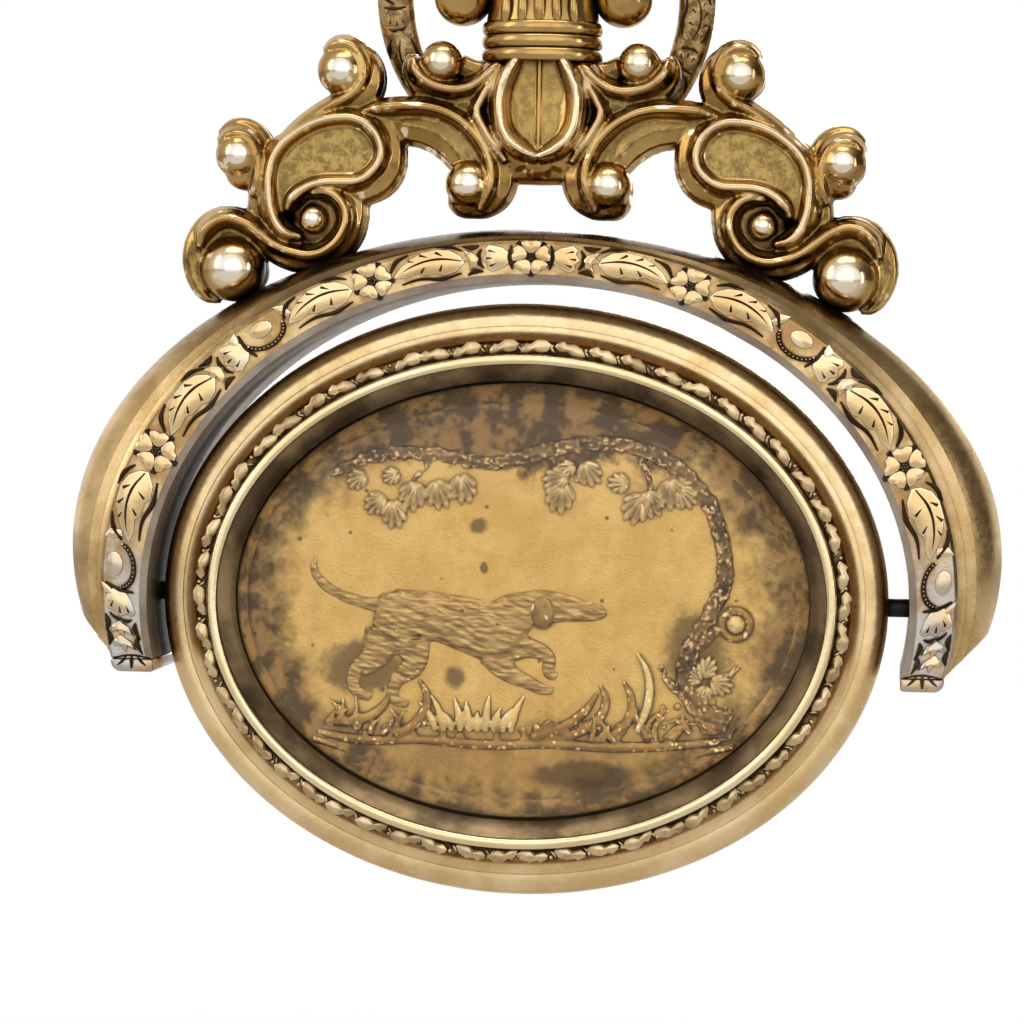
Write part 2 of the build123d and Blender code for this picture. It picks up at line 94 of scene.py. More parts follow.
class NodeMaker:  # adds shader nodes to one tree and joins them up
    def __init__(self, tree):
        self.tree = tree
        tree.nodes.clear()

    def add(self, kind, settings=(), **inputs):
        node = self.tree.nodes.new(kind)
        for key, value in dict(settings).items():
            setattr(node, key, value)
        for key, value in inputs.items():
            socket = node.inputs[int(key[1:]) if key[0] == "i" and key[1:].isdigit() else key]
            if isinstance(value, bpy.types.NodeSocket):
                self.tree.links.new(value, socket)
            else:
                socket.default_value = value
        return node

    def out(self, kind, settings=(), output=0, **inputs):
        return self.add(kind, settings, **inputs).outputs[output]

    def math(self, operation, first, second=0.0, third=0.0):
        return self.out("ShaderNodeMath", {"operation": operation}, i0=first, i1=second, i2=third)

    def ramp(self, value, low, high, start=0.0, end=1.0):  # a smooth step from low to high
        return self.out(
            "ShaderNodeMapRange", {"interpolation_type": "SMOOTHSTEP"},
            i0=value, i1=low, i2=high, i3=start, i4=end,
        )

    def blend(self, amount, first, second):
        node = self.tree.nodes.new("ShaderNodeMix")
        node.data_type = "RGBA"
        for socket, value in ((node.inputs[0], amount), (node.inputs[6], first), (node.inputs[7], second)):
            if isinstance(value, bpy.types.NodeSocket):
                self.tree.links.new(value, socket)
            elif isinstance(value, tuple):
                socket.default_value = (*value, 1)
            else:
                socket.default_value = value
        return node.outputs[2]

    def noise(self, vector, scale, detail=3.0, roughness=0.55):
        return self.out(
            "ShaderNodeTexNoise", Vector=vector, Scale=scale, Detail=detail, Roughness=roughness,
        )

    def place(self, scale=(1, 1, 1), turned=(0, 0, 0)):  # Object coordinates, stretched or turned
        spot = self.out("ShaderNodeTexCoord", output="Object")
        return self.out("ShaderNodeMapping", Vector=spot, Scale=scale, Rotation=turned)

    def apart(self, vector):  # its three coordinates
        return self.add("ShaderNodeSeparateXYZ", i0=vector).outputs

    def times(self, first, second):
        return self.math("MULTIPLY", first, second)

    def addShare(self, value, amount, base):  # a base with a share of a value added
        return self.math("MULTIPLY_ADD", value, amount, base)

    def away(self, value):  # how far from zero
        return self.math("ABSOLUTE", value)

    def occlusion(self, reach, local=False):
        settings = {"samples": 8, "only_local": local}
        return self.out("ShaderNodeAmbientOcclusion", settings, output="AO", Distance=reach)

    def rubbed(self, tone, look):  # raised edges in the worn colour: wear, and a painted highlight along them
        edge = self.out("ShaderNodeNewGeometry", output="Pointiness")
        return self.blend(self.ramp(edge, *look["edgeSpan"]), tone, look["wornHighlight"])


def blankMaterial(name):
    material = bpy.data.materials.new(name)
    material.use_nodes = True
    return material, NodeMaker(material.node_tree)


# World: white behind the fob and in its reflections, with a darker studio at the sides
studioPlan = {
    "ambient": 0.5, "dark": (0.12, 0.105, 0.09), "light": (0.80, 0.78, 0.74), "frontEdge": (0.57, 0.64),
    "backEdge": (0.28, 0.56), "brightWay": (-0.55, -0.2, 0.8), "brightEdge": (-0.1, 0.8),
}
world = bpy.data.worlds.new("paleStudio")
bpy.context.scene.world = world
world.use_nodes = True
studio = NodeMaker(world.node_tree)
rays = studio.add("ShaderNodeLightPath")
heading = studio.out("ShaderNodeTexCoord", output="Generated")
facing = studio.out(
    "ShaderNodeVectorMath", {"operation": "DOT_PRODUCT"}, output=1,
    i0=heading, i1=(math.sin(turn), -math.cos(turn), 0),
)
inFront = studio.ramp(facing, *studioPlan["frontEdge"])
behind = studio.ramp(studio.times(facing, -1.0), *studioPlan["backEdge"])
upward = studio.out(
    "ShaderNodeVectorMath", {"operation": "DOT_PRODUCT"}, output=1, i0=heading, i1=studioPlan["brightWay"],
)
sides = studio.blend(studio.ramp(upward, *studioPlan["brightEdge"]), studioPlan["dark"], studioPlan["light"])
mirrored = studio.blend(studio.math("MAXIMUM", inFront, behind), sides, (1.0, 1.0, 1.0))
bounces = studio.math("ADD", rays.outputs["Glossy Depth"], rays.outputs["Diffuse Depth"])
throughStone = rays.outputs["Is Transmission Ray"]
bounced = studio.times(throughStone, studio.math("GREATER_THAN", bounces, 0.5))
straight = studio.math("SUBTRACT", throughStone, bounced)
white = studio.math("MAXIMUM", rays.outputs["Is Camera Ray"], straight)
metalRay = studio.math("MAXIMUM", rays.outputs["Is Glossy Ray"], bounced)
ambient = studio.add("ShaderNodeBackground", Color=(1.0, 0.98, 0.95, 1), Strength=studioPlan["ambient"])
backdrop = studio.add("ShaderNodeBackground", Color=(1, 1, 1, 1), Strength=1.0)
reflected = studio.add("ShaderNodeBackground", Color=mirrored, Strength=1.0)
shown = studio.out("ShaderNodeMixShader", i0=metalRay, i1=ambient.outputs[0], i2=reflected.outputs[0])
seen = studio.out("ShaderNodeMixShader", i0=white, i1=shown, i2=backdrop.outputs[0])
studio.add("ShaderNodeOutputWorld", Surface=seen)

# Floor: pale, three centimetres below the hanging fob
floorPlan = {
    "height": -0.082, "size": 3.0, "colour": (0.82, 0.81, 0.80), "speckled": (0.79, 0.78, 0.77), "grain": 900,
    "whiteFrom": 0.09, "whiteTo": 0.16,
}
bpy.ops.object.select_all(action="DESELECT")
bpy.ops.mesh.primitive_plane_add(size=floorPlan["size"], location=(0, 0, floorPlan["height"]))
floor = bpy.context.object
floor.name = "paleFloor"
floorMaterial, paint = blankMaterial("paleFloor")
spot = paint.place()
away = paint.out("ShaderNodeVectorMath", {"operation": "LENGTH"}, output=1, i0=spot)
farAway = paint.ramp(away, floorPlan["whiteFrom"], floorPlan["whiteTo"])
seenDirect = paint.out("ShaderNodeLightPath", output="Is Camera Ray")
speckle = paint.noise(spot, floorPlan["grain"], 4)
floorTone = paint.blend(paint.ramp(speckle, 0.3, 0.7), floorPlan["colour"], floorPlan["speckled"])
matt = paint.out("ShaderNodeBsdfPrincipled", **{"Base Color": floorTone, "Roughness": 0.8})
glow = paint.out("ShaderNodeEmission", Color=(1, 1, 1, 1), Strength=1.0)
faded = paint.out("ShaderNodeMixShader", i0=paint.times(farAway, seenDirect), i1=matt, i2=glow)
paint.add("ShaderNodeOutputMaterial", Surface=faded)
floor.data.materials.append(floorMaterial)

print("stage: metals")
# What all the metals share: pattern scales, and how far each effect goes
metal = {
    "broadScale": 260, "fineScale": 5200, "grainScale": 2600, "patches": (0.35, 0.65), "hollowSpan": (0.9, 0.45),
    "flatFrom": (0.9, 0.99), "mottle": (2600, 0.38, 0.62, 0.55, 1.35), "dullShare": 0.95, "proudAndLitShare": 0.7,
    "footRagged": 0.00025, "footShare": 0.85, "pivotHeight": 0.0365, "grimeRagged": 0.004, "pivotShare": 0.6,
    "tarnishRagged": 0.002, "tarnishShare": 0.8, "silverRagged": 0.008, "silverScale": 620,
    "silverPatches": (0.40, 0.56, 0.15, 1.0), "silver": (0.50, 0.47, 0.44), "speckle": 0.5, "grimeAndShade": 0.9,
    "speckleSpan": (0.60, 0.74), "roughSpread": (0.3, 0.7, -0.05, 0.08), "grimeRough": 0.25, "bump": 0.12,
    "bumpDepth": 0.00006,
}


def agedMetal(name, look):  # patches of gold and amber, dark in its hollows with dirt and painted shade
    look = {**metal, **look}
    material, paint = blankMaterial(name)
    spot = paint.place()
    sideways, forwards, upwards = paint.apart(spot)
    depth = paint.away(forwards)
    broad = paint.noise(spot, look["broadScale"], 4)
    fine = paint.noise(spot, look["fineScale"], 4, 0.65)
    grain = paint.noise(spot, look["grainScale"], 5, 0.6)
    tone = paint.blend(paint.ramp(broad, *look["patches"]), look["gold"], look["amber"])
    # Raised edges made paler: wear, and a painted highlight.
    if "edgeSpan" in look:
        tone = paint.rubbed(tone, look)
    if "proudAndLit" in look:  # what stands furthest out is rubbed palest and gets a painted highlight, and flat panels lower down are dull
        facing = paint.apart(paint.out("ShaderNodeNewGeometry", output="Normal"))[1]
        sunken = paint.times(paint.ramp(depth, *look["sunken"]), paint.ramp(paint.away(facing), *look["flatFrom"]))
        mottled = paint.ramp(paint.noise(spot, look["mottle"][0], 6, 0.7), *look["mottle"][1:])
        dull = paint.out("ShaderNodeVectorMath", {"operation": "SCALE"}, i0=look["dull"], Scale=mottled)
        tone = paint.blend(paint.times(sunken, look["dullShare"]), tone, dull)
        # Wear and painted highlight: the parts that stand furthest forward turn pale.
        tone = paint.blend(paint.times(paint.ramp(depth, *look["proudAndLit"]), look["proudAndLitShare"]), tone, look["wornHighlight"])
    if "goldBelow" in look:  # the collet's foot shows the foil's colour
        ragged = paint.addShare(grain, look["footRagged"], depth)
        tone = paint.blend(paint.ramp(ragged, *look["goldBelow"], 0.0, look["footShare"]), tone, look["foot"])
    if "pivotGrime" in look:  # dark grease round the pivot pins
        near = paint.ramp(paint.away(sideways), *look["pivotGrime"][:2])
        offAxis = paint.away(paint.math("ADD", upwards, look["pivotHeight"]))
        close = paint.ramp(paint.addShare(broad, look["grimeRagged"], offAxis), *look["pivotGrime"][2:])
        tone = paint.blend(paint.times(paint.times(near, close), look["pivotShare"]), tone, look["dirtAndShade"])
    if "tarnishAbove" in look:  # bronze brown where the crest stands on the hoop
        height = paint.addShare(grain, look["tarnishRagged"], upwards)
        tone = paint.blend(paint.ramp(height, *look["tarnishAbove"], 0.0, look["tarnishShare"]), tone, look["dirtAndShade"])
    if "silverBelow" in look:  # the gilding is rubbed away towards the arms' ends
        height = paint.addShare(broad, look["silverRagged"], upwards)
        rubbedAway = paint.ramp(height, *look["silverBelow"], 1.0, 0.0)
        patches = paint.ramp(paint.noise(spot, look["silverScale"], 4, 0.6), *look["silverPatches"])
        tone = paint.blend(paint.times(rubbedAway, patches), tone, look["silver"])
    speckles = paint.times(paint.ramp(fine, *look["speckleSpan"]), look["speckle"])
    tone = paint.blend(paint.times(speckles, paint.ramp(broad, 0.4, 0.6)), tone, look["dirtAndShade"])
    # Ambient occlusion darkens the hollows towards the dark colour: dirt there, and painted shade.
    grimeAndShade = paint.times(paint.ramp(paint.occlusion(look["hollowReach"]), *look["hollowSpan"]), look["grimeAndShade"])
    tone = paint.blend(grimeAndShade, tone, look["dirtAndShade"])
    rough = paint.math("ADD", paint.ramp(grain, *look["roughSpread"]), look["rough"])
    rough = paint.addShare(grimeAndShade, look["grimeRough"], rough)
    scratches = paint.addShare(grain, 0.6, paint.times(fine, 0.4))
    bump = paint.out("ShaderNodeBump", Height=scratches, Strength=look["bump"], Distance=look["bumpDepth"])
    surface = paint.out("ShaderNodeBsdfPrincipled", **{
        "Base Color": tone, "Metallic": 1.0, "Roughness": rough, "Normal": bump,
    })
    paint.add("ShaderNodeOutputMaterial", Surface=surface)
    return material


gilt = agedMetal("giltBrass", {
    "gold": (0.55, 0.36, 0.135), "amber": (0.38, 0.225, 0.07),
    "dirtAndShade": (0.03, 0.017, 0.008), "rough": 0.15, "hollowReach": 0.0011, "hollowSpan": (0.85, 0.3),
})
crestGilt = agedMetal("crestGilt", {
    "gold": (0.54, 0.345, 0.125), "amber": (0.35, 0.195, 0.055), "wornHighlight": (0.98, 0.80, 0.54),
    "dirtAndShade": (0.025, 0.014, 0.007), "rough": 0.12, "hollowReach": 0.0014, "hollowSpan": (0.88, 0.3),
    "edgeSpan": (0.522, 0.575), "proudAndLit": (0.00160, 0.00200), "sunken": (0.0016, 0.0013),
    "dull": (0.27, 0.18, 0.058), "speckle": 0.8,
})
# Painted highlight: near-white gilt for the discs that stand in for the lamp's reflection in the bosses.
paintedBossHighlight = agedMetal("paintedBossHighlight", {
    "gold": (0.94, 0.87, 0.73), "amber": (0.90, 0.78, 0.58),
    "dirtAndShade": (0.30, 0.20, 0.10), "rough": 0.1, "hollowReach": 0.0003, "speckle": 0.3,
})
chasedGilt = agedMetal("chasedGilt", {
    "gold": (0.70, 0.50, 0.26), "amber": (0.46, 0.29, 0.12),
    "dirtAndShade": (0.035, 0.018, 0.008), "rough": 0.24, "hollowReach": 0.0004, "grimeAndShade": 1.0, "broadScale": 900,
    "silverBelow": (-0.035, -0.027),
})
rimGround = agedMetal("rimGround", {
    "gold": (0.62, 0.43, 0.21), "amber": (0.36, 0.215, 0.085), "patches": (0.36, 0.60),
    "dirtAndShade": (0.05, 0.028, 0.012), "rough": 0.18, "hollowReach": 0.0003,
    "broadScale": 700, "speckle": 0.3, "silverBelow": (-0.034, -0.027),
})
# Dark ground between the border leaves: its own dark brown, and painted shade in the gaps.
borderGround = agedMetal("borderGround", {
    "gold": (0.36, 0.23, 0.095), "amber": (0.08, 0.045, 0.018), "patches": (0.42, 0.62),
    "dirtAndShade": (0.02, 0.011, 0.006), "rough": 0.3, "hollowReach": 0.0006, "hollowSpan": (0.97, 0.62), "grimeAndShade": 1.0,
    "broadScale": 1500,
})
cutLines = agedMetal("cutLines", {
    "gold": (0.060, 0.034, 0.017), "amber": (0.030, 0.017, 0.009),
    "dirtAndShade": (0.012, 0.007, 0.004), "rough": 0.42, "hollowReach": 0.0002,
})
reliefGilt = agedMetal("reliefGilt", {
    "gold": (0.84, 0.63, 0.35), "amber": (0.68, 0.45, 0.20), "wornHighlight": (0.97, 0.82, 0.58),
    "dirtAndShade": (0.03, 0.015, 0.007), "rough": 0.17, "hollowReach": 0.00026, "hollowSpan": (0.8, 0.3), "speckle": 0.2,
    "edgeSpan": (0.54, 0.64), "silverBelow": (-0.035, -0.027),
})
borderGilt = agedMetal("borderGilt", {
    "gold": (0.74, 0.56, 0.32), "amber": (0.40, 0.28, 0.14),
    "dirtAndShade": (0.04, 0.022, 0.01), "rough": 0.22, "hollowReach": 0.0003, "broadScale": 700,
})
ringGilt = agedMetal("ringGilt", {
    "gold": (0.54, 0.37, 0.17), "amber": (0.25, 0.155, 0.065), "patches": (0.44, 0.56),
    "dirtAndShade": (0.03, 0.018, 0.009), "rough": 0.26, "hollowReach": 0.0005, "broadScale": 2000, "bump": 0.6,
})
sealGilt = agedMetal("sealGilt", {
    "gold": (0.86, 0.65, 0.36), "amber": (0.72, 0.50, 0.23),
    "dirtAndShade": (0.05, 0.028, 0.012), "rough": 0.30, "hollowReach": 0.0004, "hollowSpan": (0.7, 0.25),
    "broadScale": 420, "speckle": 0.3, "bump": 0.06, "pivotGrime": (0.0158, 0.0175, 0.005, 0.003),
})
polishedGilt = agedMetal("polishedGilt", {
    "gold": (0.88, 0.74, 0.46), "amber": (0.80, 0.62, 0.34),
    "dirtAndShade": (0.10, 0.06, 0.03), "rough": 0.16, "hollowReach": 0.0003, "speckle": 0.1,
})
colletFront, colletFoot = (abs(corner[1]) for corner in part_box("front_collet"))
colletMiddle = (colletFront + colletFoot) / 2
darkCollet = agedMetal("darkCollet", {
    "goldBelow": (colletMiddle + 0.00008, colletMiddle - 0.00022), "foot": (0.52, 0.37, 0.19),
    "gold": (0.37, 0.25, 0.13), "amber": (0.12, 0.078, 0.042), "broadScale": 340,
    "dirtAndShade": (0.035, 0.022, 0.012), "rough": 0.38, "hollowReach": 0.0006, "hollowSpan": (0.7, 0.2), "grimeAndShade": 0.7,
})
crownGilt = agedMetal("crownGilt", {
    "gold": (0.74, 0.52, 0.26), "amber": (0.52, 0.34, 0.14),
    "dirtAndShade": (0.05, 0.028, 0.012), "rough": 0.26, "hollowReach": 0.0006, "hollowSpan": (0.92, 0.4),
    "broadScale": 380, "speckle": 0.6, "bump": 0.1, "tarnishAbove": (-0.0275, -0.0205),
})
wornLiner = agedMetal("wornLiner", {
    "gold": (0.31, 0.255, 0.20), "amber": (0.20, 0.15, 0.11),
    "dirtAndShade": (0.03, 0.02, 0.014), "rough": 0.36, "hollowReach": 0.0008,
})
darkSteel = agedMetal("darkSteel", {
    "gold": (0.05, 0.042, 0.038), "amber": (0.028, 0.02, 0.016),
    "dirtAndShade": (0.01, 0.008, 0.006), "rough": 0.42, "hollowReach": 0.0006,
})

print("stage: stones and foils")


def clearStone():
    material, paint = blankMaterial("clearStone")
    rubbed = paint.noise(paint.place(), 2600, 5, 0.7)
    bump = paint.out("ShaderNodeBump", Height=rubbed, Strength=0.02, Distance=0.00004)
    surface = paint.out("ShaderNodeBsdfPrincipled", **{
        "Base Color": (1.0, 0.975, 0.92, 1), "Roughness": 0.0, "IOR": 1.5, "Transmission Weight": 1.0,
        "Specular Tint": (0.30, 0.30, 0.31, 1), "Normal": bump,
    })
    lampRay = paint.out("ShaderNodeLightPath", output="Is Shadow Ray")
    seeThrough = paint.out("ShaderNodeBsdfTransparent", Color=(0.96, 0.93, 0.86, 1))
    mixed = paint.out("ShaderNodeMixShader", i0=lampRay, i1=surface, i2=seeThrough)
    paint.add("ShaderNodeOutputMaterial", Surface=mixed)
    return material


# Where the foils' stains lie, as shares of the oval, and how strong each is
staining = {
    "cloudScale": 520, "wispScale": 1300, "edge": (0.5, 1.02, 1.22), "top": (0.55, 0.86, 0.97),
    "foot": (-0.9, -1.18, -0.98), "footShare": 0.45,
    "brownScale": 900, "ragged": 0.0016, "copperShare": 0.62, "exergueShare": 0.55,
    "spotScale": 760.0, "spots": (0.11, 0.05, 0.0, 0.75), "blots": (1.9, 1.3, 0.0, 0.75), "blotRagged": 1.4,
    "grainScale": 6500, "hairTurn": (0, 0.5, 0), "bumpDepth": 0.00005,
}


def goldFoil(name, look):  # granular gold, stained brown towards its edge
    material, paint = blankMaterial(name)
    spot = paint.place()
    across, _, up = paint.apart(spot)
    sideways = paint.math("DIVIDE", paint.math("SUBTRACT", across, look["centre"][0]), look["halfWidth"])
    upwards = paint.math("DIVIDE", paint.math("SUBTRACT", up, look["centre"][1]), look["halfHeight"])
    middleWay = paint.math(
        "SQRT", paint.math("ADD", paint.times(sideways, sideways), paint.times(upwards, upwards)),
    )
    wisps = paint.noise(spot, staining["wispScale"], 6, 0.65)
    clouds = paint.addShare(paint.noise(spot, staining["cloudScale"], 5, 0.6), 0.6, paint.times(wisps, 0.4))
    share, *span = staining["edge"]
    edgeStain = paint.ramp(paint.addShare(clouds, share, middleWay), *span)
    share, *span = staining["top"]
    topStain = paint.ramp(paint.addShare(clouds, share, upwards), *span)
    share, *span = staining["foot"]
    lowStain = paint.times(paint.ramp(paint.addShare(clouds, share, upwards), *span, 1.0, 0.0), staining["footShare"])
    stain = paint.math("MAXIMUM", edgeStain, paint.math("MAXIMUM", topStain, lowStain))
    if "hair" in look:  # short strokes along the coat
        grain = paint.noise(paint.place(look["hair"], staining["hairTurn"]), 4.0, 3, 0.6)
        shade = paint.ramp(grain, 0.36, 0.64)
    else:
        grain = paint.noise(spot, staining["grainScale"], 3, 0.75)
        shade = paint.ramp(clouds, 0.35, 0.65)
    tone = paint.blend(shade, look["gold"], look["deepGold"])
    stains = paint.noise(spot, staining["brownScale"], 4, 0.6)
    brown = paint.blend(paint.ramp(stains, 0.44, 0.62), look["umber"], look["rust"])
    ground = look["ground"]
    lower = paint.ramp(paint.addShare(wisps, staining["ragged"], up), ground + 0.0030, ground + 0.0002)
    tone = paint.blend(paint.times(lower, staining["copperShare"]), tone, look["copper"])
    exergue = paint.ramp(up, ground + 0.0002, ground - 0.0002)
    tone = paint.blend(paint.times(exergue, staining["exergueShare"]), tone, look["deepGold"])
    tone = paint.blend(paint.times(stain, look["stained"]), tone, brown)
    spots = paint.out("ShaderNodeTexVoronoi", output="Distance", Vector=spot, Scale=staining["spotScale"])
    tone = paint.blend(paint.ramp(spots, *staining["spots"]), tone, look["umber"])
    for x, z, wide, tall in look["blots"]:
        near = paint.out(
            "ShaderNodeMapping", Vector=spot, Location=(-x / wide, 0, -z / tall), Scale=(1 / wide, 0, 1 / tall),
        )
        near = paint.out("ShaderNodeVectorMath", {"operation": "LENGTH"}, output=1, i0=near)
        near = paint.ramp(paint.addShare(wisps, staining["blotRagged"], near), *staining["blots"])
        tone = paint.blend(near, tone, look["umber"])
    # Darker towards umber in hollows and round the relief: staining, and painted shade.
    hollow = paint.occlusion(look["hollowReach"], look["local"])
    tone = paint.blend(paint.ramp(hollow, 0.95, 0.5, 0.0, 0.9), tone, look["umber"])
    # Raised edges made paler: wear, and a painted highlight.
    if "edgeSpan" in look:
        tone = paint.rubbed(tone, look)
    bump = paint.out("ShaderNodeBump", Height=grain, Strength=0.8, Distance=staining["bumpDepth"])
    surface = paint.out("ShaderNodeBsdfPrincipled", **{
        "Base Color": tone, "Metallic": 0.8, "Roughness": look["rough"], "Normal": bump,
    })
    paint.add("ShaderNodeOutputMaterial", Surface=surface)
    return material


foilLook = {
    "centre": (-0.00035, -0.0365), "halfWidth": 0.0133, "halfHeight": 0.0101,
    "gold": (0.82, 0.56, 0.20), "deepGold": (0.68, 0.43, 0.13), "rust": (0.31, 0.175, 0.062),
    "umber": (0.070, 0.040, 0.018), "stained": 0.96, "hollowReach": 0.00042, "rough": 0.36, "local": False,
    "ground": -0.0434, "copper": (0.44, 0.235, 0.075),
    "blots": (  # place and half size
        (-0.0025, -0.0330, 0.0005, 0.0004), (-0.0035, -0.0402, 0.0005, 0.0006), (0.0028, -0.0447, 0.0028, 0.0007),
        (-0.0022, -0.0350, 0.0002, 0.0003), (0.0079, -0.0388, 0.0016, 0.0022), (-0.0079, -0.0399, 0.0022, 0.0014),
    ),
}
foil = goldFoil("goldFoil", foilLook)
plainFoil = goldFoil("plainFoil", {**foilLook, "stained": 0.6})
reliefLook = {
    **foilLook, "gold": (0.56, 0.34, 0.10), "deepGold": (0.27, 0.145, 0.045), "wornHighlight": (0.94, 0.72, 0.38),
    "local": True, "edgeSpan": (0.53, 0.60), "hollowReach": 0.0008, "rough": 0.27, "stained": 0.6, "blots": (),
}
reliefFoil = goldFoil("reliefFoil", reliefLook)
houndFoil = goldFoil("houndFoil", {
    **reliefLook, "gold": (0.60, 0.41, 0.17), "deepGold": (0.30, 0.175, 0.06), "hair": (260, 1, 1500),
    "edgeSpan": (0.60, 0.75),
})
oakFoil = goldFoil("oakFoil", {
    **reliefLook, "gold": (0.31, 0.19, 0.08), "deepGold": (0.085, 0.052, 0.026), "wornHighlight": (0.74, 0.52, 0.25),
    "stained": 0.0, "edgeSpan": (0.515, 0.57), "umber": (0.05, 0.03, 0.016),
})
leafFoil = goldFoil("leafFoil", {
    **reliefLook, "gold": (0.48, 0.30, 0.11), "deepGold": (0.14, 0.082, 0.034), "wornHighlight": (0.90, 0.70, 0.38),
})
brightFoil = goldFoil("brightFoil", {
    **reliefLook, "gold": (0.92, 0.72, 0.35), "deepGold": (0.72, 0.48, 0.17), "wornHighlight": (1.0, 0.90, 0.62),
    "stained": 0.15,
})
earFoil = goldFoil("earFoil", {
    **reliefLook, "gold": (0.40, 0.25, 0.095), "deepGold": (0.26, 0.15, 0.055), "hair": (900, 1, 500),
    "stained": 0.0,
})
stone = clearStone()

finishes = {
    gilt: ("pendant_eye", "stem_front_shell", "stem_back_shell", "collar", "crest_front_shell", "crest_back_shell"),
    sealGilt: ("seal_front_frame", "seal_back_frame"),
    crownGilt: ("yoke_crown",),
    chasedGilt: ("left_end_cap", "right_end_cap"),
    rimGround: ("yoke_front_rim", "yoke_back_rim"), borderGround: ("front_leaf_border", "back_leaf_border"),
    wornLiner: ("yoke_liner", "centre_plate", "left_bearing_tube", "right_bearing_tube"),
    darkCollet: ("front_collet", "back_collet"),
    polishedGilt: ("front_bezel", "back_bezel"),
    ringGilt: ("suspension_ring",),
    darkSteel: ("left_pivot_pin", "right_pivot_pin"),
    stone: ("front_stone", "back_stone"),
    foil: ("front_foil",),
    plainFoil: ("back_foil",),
}
for material, names in finishes.items():
    for name in names:
        nodes[name].data.materials.clear()
        nodes[name].data.materials.append(material)

print("stage: shells with soft shading")
# CAD shapes with their triangles joined up: each node's body and slot
shells = {
    "pendant_eye": ("hanger", "gilt"), "stem_front_shell": ("hanger", "gilt"), "stem_back_shell": ("hanger", "gilt"),
    "collar": ("hanger", "gilt"), "yoke_crown": ("hanger", "gilt"), "yoke_liner": ("hanger", "worn_metal"),
    "left_end_cap": ("hanger", "chased_gilt"), "right_end_cap": ("hanger", "chased_gilt"),
    "suspension_ring": ("ring", "ring_gilt"), "seal_front_frame": ("seal", "seal_gilt"),
    "seal_back_frame": ("seal", "seal_gilt"), "front_bezel": ("seal", "polished_gilt"),
    "back_bezel": ("seal", "polished_gilt"),
}
# The seal's band is fuller than a quarter oval: its width, its height and how square it is
band = {
    "centre": (-0.35, -36.5), "half": (17.225, 14.03), "width": 1.05, "height": 1.6, "fullness": 3.2,
    "widest": 3.0, "halvings": 20, "slack": 0.01,
}
endCap = {"rounding": 0.00022, "flatUnder": math.radians(2), "roundedOver": math.radians(40)}


def chosen(*pieces):  # only these are selected, and the first is active
    bpy.ops.object.select_all(action="DESELECT")
    for piece in pieces:
        piece.select_set(True)
    bpy.context.view_layer.objects.active = pieces[0]


def opened():  # edit mode, with everything selected
    bpy.ops.object.mode_set(mode="EDIT")
    bpy.ops.mesh.select_all(action="SELECT")


def closedUp():  # back from edit mode, with all faces turned outwards
    bpy.ops.mesh.select_all(action="SELECT")
    bpy.ops.mesh.normals_make_consistent(inside=False)
    bpy.ops.object.mode_set(mode="OBJECT")


def modifierApplied(piece, kind, **settings):
    chosen(piece)
    bpy.ops.object.modifier_add(type=kind)
    modifier = piece.modifiers[-1]
    for key, value in settings.items():
        setattr(modifier, key, value)
    bpy.ops.object.modifier_apply(modifier=modifier.name)


def joinedUp(node):  # a copy of a CAD node with its triangles joined up
    shell = bpy.data.objects.new("smooth" + node.title().replace("_", ""), nodes[node].data.copy())
    bpy.context.collection.objects.link(shell)
    chosen(shell)
    bpy.ops.mesh.customdata_custom_splitnormals_clear()
    opened()
    bpy.ops.mesh.remove_doubles(threshold=0.000002)
    if node.endswith("end_cap"):
        bpy.ops.mesh.dissolve_limited(angle_limit=endCap["flatUnder"])
    bpy.ops.object.mode_set(mode="OBJECT")
    return shell


def fullerBand(shell):  # each point of the band moves out from a quarter oval to a squarer one
    (acrossHalf, upHalf), power = band["half"], band["fullness"]
    for vertex in shell.data.vertices:
        x, z = 1000 * vertex.co.x - band["centre"][0], 1000 * vertex.co.z - band["centre"][1]
        low, high = 0.0, band["widest"]
        for _ in range(band["halvings"]):
            inset = (low + high) / 2
            if math.hypot(x / (acrossHalf - inset), z / (upHalf - inset)) < 1:
                low = inset
            else:
                high = inset
        height = 1000 * abs(vertex.co.y)
        if inset > band["width"] or height > band["height"] + band["slack"]:
            continue
        around = math.atan2(z / (upHalf - inset), x / (acrossHalf - inset))
        turnUp = math.atan2(height / band["height"], 1 - inset / band["width"])
        swell = (math.cos(turnUp) ** power + math.sin(turnUp) ** power) ** (-1 / power)
        inset = band["width"] * (1 - swell * (1 - inset / band["width"]))
        vertex.co.x = (band["centre"][0] + (acrossHalf - inset) * math.cos(around)) / 1000
        vertex.co.z = (band["centre"][1] + (upHalf - inset) * math.sin(around)) / 1000
        vertex.co.y *= swell


for node, (body, slot) in shells.items():
    shell = joinedUp(node)
    if node.endswith("frame"):
        fullerBand(shell)
    if node.endswith("end_cap"):
        modifierApplied(shell, "BEVEL", width=endCap["rounding"], segments=3, angle_limit=endCap["roundedOver"])
    bpy.ops.object.shade_smooth_by_angle(angle=math.radians(32))
    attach(shell, body)
    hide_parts(node)

print("stage: crest")


def onOval(degrees, wide, tall, x=0.0, z=0.0):  # a place on an oval round x, z
    angle = math.radians(degrees)
    return x + wide * math.cos(angle), z + tall * math.sin(angle)


